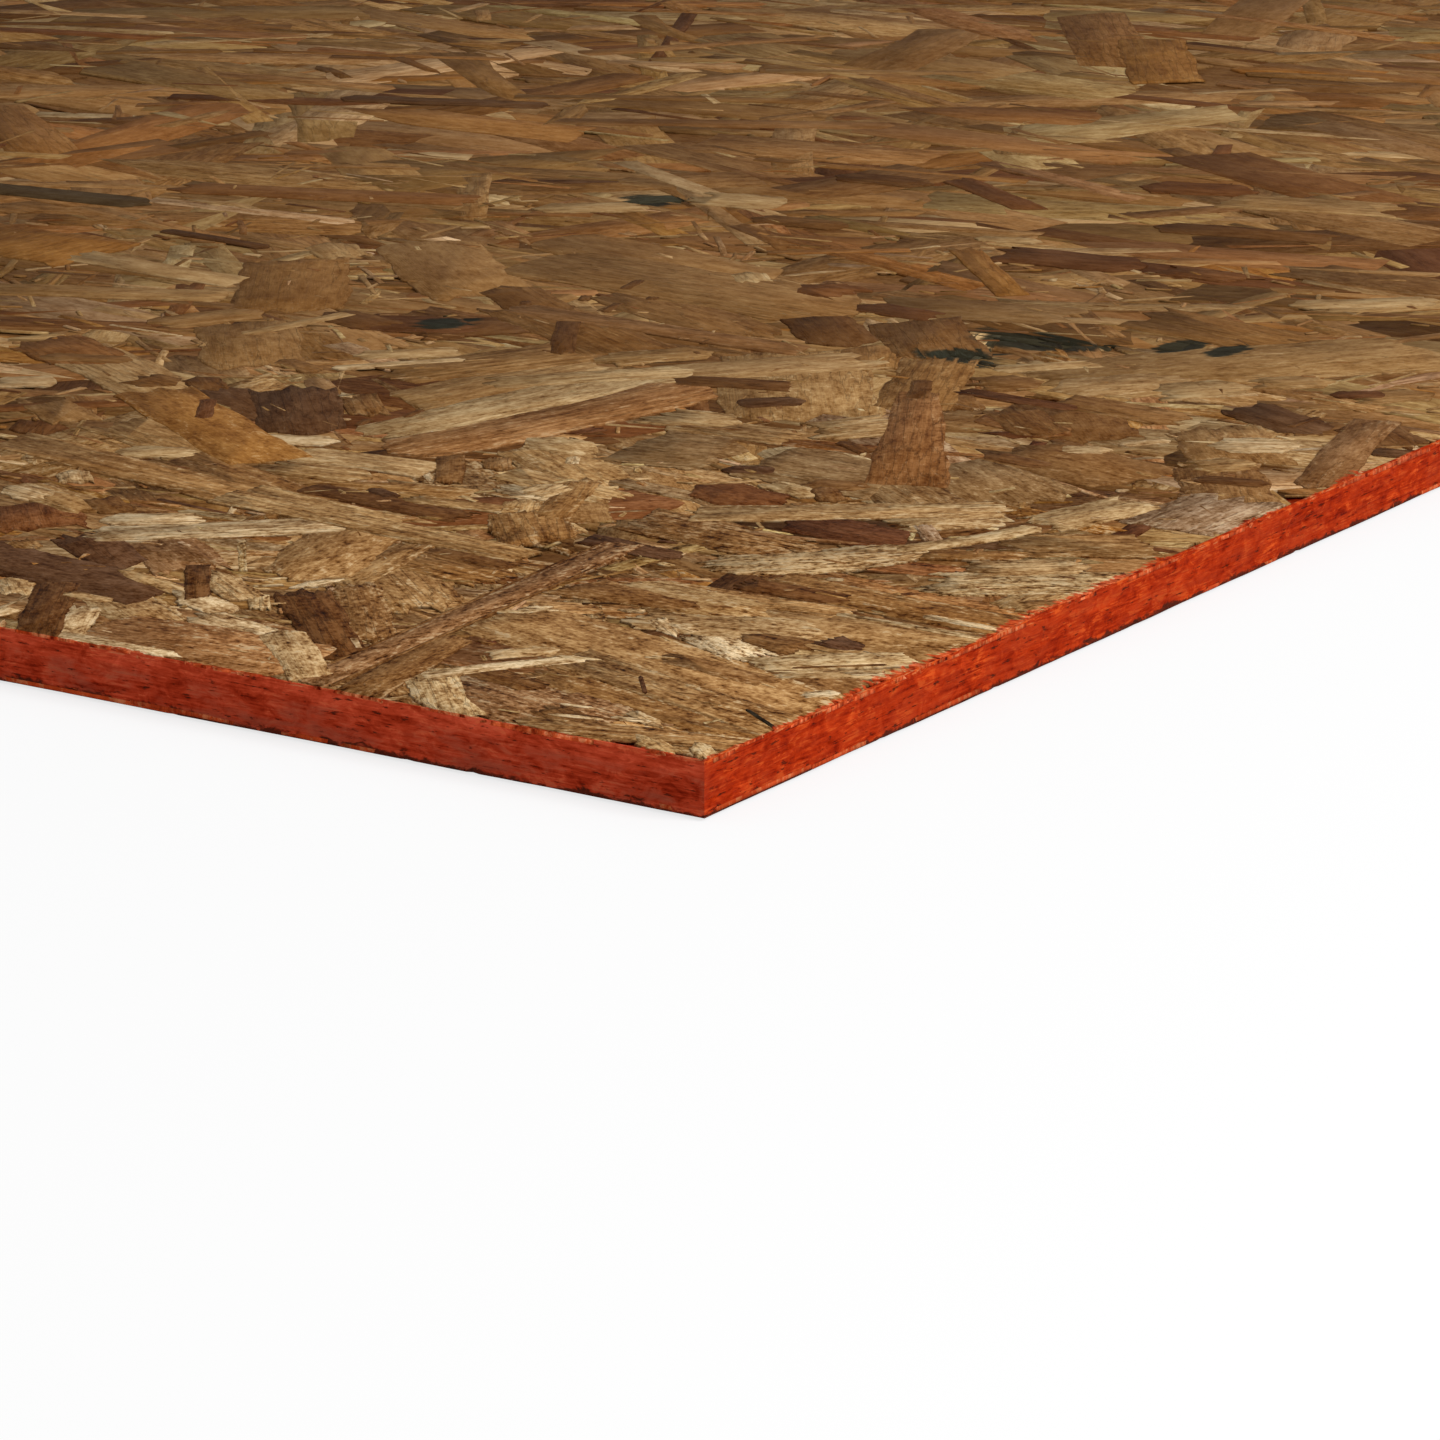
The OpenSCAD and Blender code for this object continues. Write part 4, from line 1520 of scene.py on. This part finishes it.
@dataclass
class SawnEdge:
    """One sawn edge: a bar whose outer face shows the layered strands, mitred at the corners.

    It runs along one axis, 0 or 1, and faces outward along the other. Its faces stop thin short of the
    sheet's. Lip and shelf are each a distance in from the edge and a drop from the face, and deep is how far
    in the bar ends. Each layer of relief has the run and the rise of its cells, and how far in it reaches.
    """

    name: str
    along: int
    outward: float
    seed: int
    thin: float = 0.2 * MM
    lip: Pair = (0.9 * MM, 0.05 * MM)
    shelf: Pair = (1.7 * MM, 0.85 * MM)
    deep: float = 8.0 * MM
    rows: int = 26
    fine_step: float = 1.5 * MM
    coarse_step: float = 6.0 * MM
    fine_length: float = 480 * MM
    skin: float = 0.05 * MM
    layer_cell: Pair = (16 * MM, 1.5 * MM)
    layer_relief: float = 0.26 * MM
    fibre_cell: Pair = (5 * MM, 0.8 * MM)
    fibre_relief: float = 0.12 * MM
    pit_cell: Pair = (3.5 * MM, 0.8 * MM)
    pit_relief: float = 0.9 * MM
    pit_start: float = 0.86
    pit_slope: float = 5
    lip_share: float = 0.75
    mitre_fade: float = 3 * MM
    map_rows: int = 14
    map_face: Pair = (0.0, 0.84)
    map_rest: Pair = (0.86, 0.96)

    def columns(self) -> np.ndarray:
        """The columns' places along the edge, as shares, closest together near the front right corner."""
        length = float(BOARD_HIGH[self.along] - BOARD_LOW[self.along])
        fine = np.arange(0.0, self.fine_length, self.fine_step)
        coarse = np.linspace(self.fine_length, length, int((length - self.fine_length) / self.coarse_step))
        if self.outward * (1 if self.along else -1) < 0:
            fine = fine[:1]
            coarse = np.linspace(self.coarse_step, length, int(length / self.coarse_step))
        from_corner = np.concatenate([fine, coarse]) / length
        return from_corner if self.along else 1.0 - from_corner[::-1]

    def recess(self, run: np.ndarray, height: np.ndarray) -> np.ndarray:
        """How far the face lies in at each place: stretched noise for the strand layers, plus sparse pits.

        Args:
            run: metres along the edge.
            height: metres above the underside.

        Returns:
            The recess in metres.
        """
        rng = np.random.default_rng(self.seed)
        cells = (self.layer_cell, self.fibre_cell, self.pit_cell)
        layers, fibres, pits = (lattice_noise(run, height, *cell, rng) for cell in cells)
        holes = np.clip(pits - self.pit_start, 0.0, 1.0) * self.pit_slope
        wood = self.skin + self.layer_relief * layers**2 + self.fibre_relief * fibres
        recess = wood + self.pit_relief * holes
        return np.minimum(recess, self.lip_share * self.lip[0])

    def build(self, material: bpy.types.Material) -> bpy.types.Object:
        """Carries the section along the edge.

        The section runs up the outer face, in along the top, down the back and out along the underside. A
        point lies at its depth from the edge, and its share along is measured between the mitres at that
        depth.

        Args:
            material: the painted edge material.

        Returns:
            The piece.
        """
        length = float(BOARD_HIGH[self.along] - BOARD_LOW[self.along])
        share = self.columns()
        bottom, top = float(BOARD_LOW[2]) + self.thin, float(BOARD_HIGH[2]) - self.thin
        height = np.linspace(bottom, top, self.rows)
        run, up = np.meshgrid(share * length, height, indexing="ij")
        to_corner = np.minimum(run, length - run)
        fade = np.clip(to_corner / self.mitre_fade, 0.0, 1.0)
        depth = self.recess(run, up) * fade + self.fibre_relief * (1.0 - fade)
        inward = np.array([self.lip[0], self.shelf[0], self.deep])
        down = np.array([self.lip[1], self.shelf[1], self.shelf[1]])
        sides = np.ones((len(share), 1))
        depth = np.concatenate([depth, sides * inward, sides * inward[::-1]], 1)
        up = np.concatenate([up, sides * (top - down), sides * (bottom + down)[::-1]], 1)
        place = np.zeros((*depth.shape, 3))
        place[..., self.along] = float(BOARD_LOW[self.along]) + depth + share[:, None] * (length - 2 * depth)
        place[..., 1 - self.along] = self.outward * (float(BOARD_HIGH[1 - self.along]) - depth)
        place[..., 2] = up
        flip = (self.outward > 0) == (self.along == 0)
        bar = ring_surface(place, flip, self.bake_map(run[:, 0], depth.shape[1]))
        return bar.piece(self.name, material, Slot.SEALER)

    def bake_map(self, run: np.ndarray, ring: int) -> tuple[np.ndarray, np.ndarray]:
        """Wraps the long face onto rows of a square map.

        Args:
            run: the columns' places along the edge.
            ring: points around the section.

        Returns:
            The lower and upper bake places of each column of faces, and each ring point's share of a row.
        """
        length = float(BOARD_HIGH[self.along] - BOARD_LOW[self.along])
        rows = self.map_rows
        row_length = length / rows
        middle = (run[:-1] + run[1:]) / 2
        row = np.minimum(np.floor(middle / row_length), rows - 1)
        left = np.clip((run[:-1] - row * row_length) / row_length, 0.0, 1.0)
        right = np.clip((run[1:] - row * row_length) / row_length, 0.0, 1.0)
        beside = ring - self.rows
        across = np.concatenate([np.linspace(*self.map_face, self.rows), np.linspace(*self.map_rest, beside)])
        return np.stack([left, right, row / rows], 1), across / rows


def lattice_noise(
    run: np.ndarray, rise: np.ndarray, run_cell: float, rise_cell: float, rng: np.random.Generator
) -> np.ndarray:
    """Random heights on a lattice, blended smoothly between its points.

    Args:
        run: places along.
        rise: places up.
        run_cell: the lattice's step along.
        rise_cell: the lattice's step up.
        rng: the random numbers.

    Returns:
        Values from 0 to 1.
    """
    u, v = run / run_cell, rise / rise_cell
    left, low = np.floor(u).astype(int), np.floor(v).astype(int)
    table = rng.random((left.max() + 2, low.max() + 2))
    fu, fv = u - left, v - low
    fu, fv = fu * fu * (3 - 2 * fu), fv * fv * (3 - 2 * fv)
    lower = table[left, low] * (1 - fu) + table[left + 1, low] * fu
    upper = table[left, low + 1] * (1 - fu) + table[left + 1, low + 1] * fu
    return lower * (1 - fv) + upper * fv


def ring_surface(place: np.ndarray, flip: bool, bake: tuple[np.ndarray, np.ndarray]) -> MeshArrays:
    """A closed bar from rings of points, one ring a column, with its two ends closed.

    Args:
        place: the points, by column and by place in the ring.
        flip: True to turn the faces round.
        bake: the bake places that SawnEdge.bake_map gives.

    Returns:
        The bar.
    """
    columns, ring = place.shape[:2]
    index = np.arange(columns * ring).reshape(columns, ring)
    nxt = np.roll(index, -1, axis=1)
    quads = np.stack([index[:-1], index[1:], nxt[1:], nxt[:-1]], 2)
    ends = np.stack([index[0][::-1] if not flip else index[0], index[-1] if not flip else index[-1][::-1]])
    spans, across = bake
    low, high = across, np.roll(across, -1)
    high[-1] = across[-1] + (across[-1] - across[-2]) * 0.5
    left, right, base = (np.broadcast_to(spans[:, k : k + 1], (columns - 1, ring)) for k in range(3))
    low, high = np.broadcast_to(low, left.shape), np.broadcast_to(high, left.shape)
    round_face = ((left, low), (right, low), (right, high), (left, high))
    uv = np.stack([np.stack([side, base + rise], 2) for side, rise in round_face], 2)
    if flip:
        quads, uv = quads[:, :, ::-1], uv[:, :, ::-1]
    uv = np.concatenate([uv.reshape(-1, 2), np.full((2 * ring, 2), 0.999)])
    points = place.reshape(-1, 3)
    corners = np.concatenate([quads.ravel(), ends.ravel()])
    return MeshArrays(
        points=points,
        corners=corners,
        face_sizes=np.concatenate([np.full((columns - 1) * ring, 4), [ring, ring]]),
        grain=points[corners][:, :2],
        bake=uv,
        wood=np.tile(np.array(HONEY.colour), (len(points), 1)),
        figure=np.full((len(points), 3), 0.5),
        spot=np.zeros((len(points), 3)),
        extent=np.ones((len(points), 3)),
    )


@dataclass
class Core:
    """The pressed core between the faces, seen only down the gaps between face strands."""

    name: str = "core"
    cover: float = 0.92 * MM
    inset: float = 6.0 * MM
    step: float = 24 * MM

    def build(self, material: bpy.types.Material) -> bpy.types.Object:
        """A slab carried as rings along the sheet: across the top, and back across the underside.

        Args:
            material: the strand material.

        Returns:
            The piece.
        """
        inset = np.array([self.inset, self.inset, self.cover])
        low, high = BOARD_LOW + inset, BOARD_HIGH - inset
        run = np.linspace(low[0], high[0], int((high[0] - low[0]) / self.step))
        cross = np.linspace(low[1], high[1], int((high[1] - low[1]) / self.step))
        ring_y = np.concatenate([cross, cross[::-1]])
        ring_z = np.concatenate([np.full(len(cross), low[2]), np.full(len(cross), high[2])])
        place = np.zeros((len(run), len(ring_y), 3))
        place[..., 0] = run[:, None]
        place[..., 1] = ring_y
        place[..., 2] = ring_z
        share = (run - low[0]) / (high[0] - low[0])
        spans = np.stack([share[:-1], share[1:], np.zeros(len(run) - 1)], 1)
        across = np.linspace(0.0, 0.98, len(ring_y))
        mesh = ring_surface(place, True, (spans, across))
        mesh.wood = np.tile(np.array(UMBER.colour), (len(mesh.points), 1))
        return mesh.piece(self.name, material, Slot.STRANDS)


# ---------------------------------------------------------------- the whole board


WIDE = StrandKind((62 * MM, 125 * MM), (12 * MM, 34 * MM), (0.22 * MM, 0.52 * MM), 0.8 * MM, 4, 3)
NARROW = StrandKind((42 * MM, 115 * MM), (4 * MM, 13 * MM), (0.19 * MM, 0.45 * MM), 0.8 * MM, 4, 1, pale=1.2)
CHIP = StrandKind((18 * MM, 55 * MM), (2.5 * MM, 10 * MM), (0.17 * MM, 0.42 * MM), 0.6 * MM, 3, 1, 1.5, 0.4)
SLIVER = StrandKind((6 * MM, 32 * MM), (0.6 * MM, 2.6 * MM), (0.15 * MM, 0.30 * MM), 0.4 * MM, 2, 1, 3.0, 0.5)
FINE_WIDE = replace(WIDE, side_points=9, end_points=5)
FINE_NARROW = replace(NARROW, side_points=7, end_points=3)
FINE_CHIP = replace(CHIP, side_points=5, end_points=3)
FINE_SLIVER = replace(SLIVER, side_points=3)
SPECK = StrandKind((1.5 * MM, 9 * MM), (0.4 * MM, 1.8 * MM), (0.01 * MM, 0.05 * MM), 0.3 * MM, 2, 1, 2.5, 0.3)
TOP_MIX = ((WIDE, 4700), (NARROW, 3400), (CHIP, 2600), (SLIVER, 2800))
CORNER_MIX = ((FINE_WIDE, 330), (FINE_NARROW, 300), (FINE_CHIP, 380), (FINE_SLIVER, 800), (SPECK, 900))
UNDERSIDE_MIX = ((WIDE, 4200), (NARROW, 900), (CHIP, 300), (SLIVER, 200))


@dataclass
class Board:
    """The whole sheet: two faces of strands, four sawn edges and a core.

    Fine strands lie within fine_reach of the near corner. Laid strands that start within sharp_reach of it,
    in millimetres, have sharp_points on each side and each end, and the others plain_points.
    """

    fine_reach: float = 430 * MM
    sharp_reach: float = 170.0
    sharp_points: tuple[int, int] = (44, 12)
    plain_points: tuple[int, int] = (18, 7)

    def faces(self) -> list[bpy.types.Object]:
        """Lays the strands of both faces.

        Returns:
            The pieces.
        """
        material = StrandFinish().build()
        top = StrandMat("top_strands", 1.0, 8, SEED)
        underside = StrandMat("underside_strands", -1.0, 3, SEED + 1)
        rng = np.random.default_rng(top.seed + 100)
        coarse = top.scatter(rng, TOP_MIX)
        fine_low = np.array([BOARD_HIGH[0] - self.fine_reach, BOARD_LOW[1] - top.overhang])
        fine_high = np.array([BOARD_HIGH[0] + top.overhang, BOARD_LOW[1] + self.fine_reach])
        coarse = [lot.chosen(~((lot.middle > fine_low) & (lot.middle < fine_high)).all(1)) for lot in coarse]
        fine = [top.inside(kind.scattered(rng, number, fine_low, fine_high)) for kind, number in CORNER_MIX]
        near = [strand for strand in LAID_STRANDS if max(strand.start) < self.sharp_reach]
        beyond = [strand for strand in LAID_STRANDS if strand not in near]
        laid = [laid_lot(near, rng, self.sharp_points), laid_lot(beyond, rng, self.plain_points)]
        made = top.build([*coarse, *fine, *laid], material)
        rng = np.random.default_rng(underside.seed + 100)
        made += underside.build(underside.scatter(rng, UNDERSIDE_MIX), material)
        made.append(Core().build(material))
        return made

    def edges(self) -> list[bpy.types.Object]:
        """Makes the four sawn edges.

        Returns:
            The pieces.
        """
        shaded, fresh = EdgeFinish(SHADED_PAINT).build(), EdgeFinish(UNSHADED_PAINT).build()
        # the long edges take the painted-light copy of the sealer
        bars = (
            (SawnEdge("long_edge_front", 0, -1.0, SEED + 2), shaded),
            (SawnEdge("short_edge_right", 1, 1.0, SEED + 3), fresh),
            (SawnEdge("long_edge_back", 0, 1.0, SEED + 4), shaded),
            (SawnEdge("short_edge_left", 1, -1.0, SEED + 5), fresh),
        )
        return [bar.build(material) for bar, material in bars]


@dataclass
class Studio:
    """The floor, the lights and the camera."""

    floor_size: float = 80.0
    floor_gap: float = 0.4 * MM
    floor_colour: tuple[float, ...] = (0.96, 0.96, 0.96, 1.0)
    floor_glow: float = 0.75
    eye: Triple = (0.51935, -0.78410, 0.29366)
    heading: float = 33.35
    tip: float = 16.3
    lens: float = 137.5
    sensor: float = 36.0
    clip: Pair = (0.02, 200.0)
    sky: float = 0.45
    key_place: Triple = (1.52, 0.28, 1.24)
    key_size: float = 1.0
    key_power: float = 34.6

    def floor(self) -> None:
        """A plain white floor that keeps the sheet's shadow and shows white where it is lit."""
        half, drop = self.floor_size / 2, -self.floor_gap
        mesh = bpy.data.meshes.new("floor")
        corners = [(-half, -half, drop), (half, -half, drop), (half, half, drop), (-half, half, drop)]
        mesh.from_pydata(corners, [], [(0, 1, 2, 3)])
        graph = Graph(bpy.data.materials.new("studio_floor"))
        seen = self.seen(graph, "Is Camera Ray", "Is Glossy Ray", "Is Transmission Ray")
        plain = graph.node("ShaderNodeBsdfDiffuse", None, {"Color": self.floor_colour})
        white = graph.node("ShaderNodeEmission", None, {"Color": WHITE, "Strength": 1.0})
        mixed = graph.node("ShaderNodeMixShader", None, {0: seen * self.floor_glow, 1: plain, 2: white})
        graph.node("ShaderNodeOutputMaterial", None, {"Surface": mixed})
        mesh.materials.append(graph.owner)
        made = bpy.data.objects.new("floor", mesh)
        bpy.context.scene.collection.objects.link(made)

    def seen(self, graph: Graph, *rays: str) -> Wire:
        """Where the surface is seen by one of several kinds of ray.

        Args:
            graph: the graph it goes in.
            rays: the Light Path outputs.

        Returns:
            1 for those rays and 0 for the others.
        """
        hits = [graph.node("ShaderNodeLightPath", None, None, ray) for ray in rays]
        return reduce(Wire.highest, hits)

    def world(self) -> None:
        """Soft white light from all round, which looks white to the camera."""
        world = bpy.data.worlds.new("studio")
        bpy.context.scene.world = world
        graph = Graph(world)
        seen = self.seen(graph, "Is Camera Ray", "Is Transmission Ray")
        light = {"Color": WHITE, "Strength": seen * (1.0 - self.sky) + self.sky}
        background = graph.node("ShaderNodeBackground", None, light)
        graph.node("ShaderNodeOutputWorld", None, {"Surface": background})

    def lamp(self) -> None:
        """A square soft lamp above the right of the near corner, which it faces."""
        light = bpy.data.lights.new("key", "AREA")
        light.shape = "SQUARE"
        light.size = self.key_size
        light.energy = self.key_power
        made = bpy.data.objects.new("key", light)
        away = np.array(self.key_place)
        made.location = self.from_corner(self.key_place)
        made.rotation_euler = (math.acos(away[2] / np.linalg.norm(away)), 0.0, math.atan2(away[0], -away[1]))
        bpy.context.scene.collection.objects.link(made)

    def from_corner(self, offset: Triple) -> Triple:
        """A place counted from the front right corner of the sheet's underside."""
        return (float(BOARD_HIGH[0]) + offset[0], float(BOARD_LOW[1]) + offset[1], offset[2])

    def camera(self) -> None:
        """The camera, looking down along the front right corner."""
        data = bpy.data.cameras.new("camera")
        data.lens = self.lens
        data.sensor_width = self.sensor
        data.clip_start, data.clip_end = self.clip
        made = bpy.data.objects.new("camera", data)
        made.location = self.from_corner(self.eye)
        made.rotation_euler = (math.radians(90.0 - self.tip), 0.0, math.radians(self.heading))
        bpy.context.scene.collection.objects.link(made)
        bpy.context.scene.camera = made

    def build(self) -> None:
        """Sets up the whole studio."""
        self.camera()
        self.floor()
        self.world()
        self.lamp()
        bpy.context.scene.view_settings.view_transform = "Standard"


def write_sizes() -> None:
    """Updates the view layer."""
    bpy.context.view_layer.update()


def main() -> None:
    """Builds the sheet and the studio, and reports each piece."""
    logging.basicConfig(level=logging.INFO, format="%(message)s")
    Studio().build()
    board = Board()
    made = board.edges() + board.faces()
    LOG.info("%d pieces, %d faces", len(made), sum(len(piece.data.polygons) for piece in made))
    write_sizes()


if __name__ == "__main__":
    main()
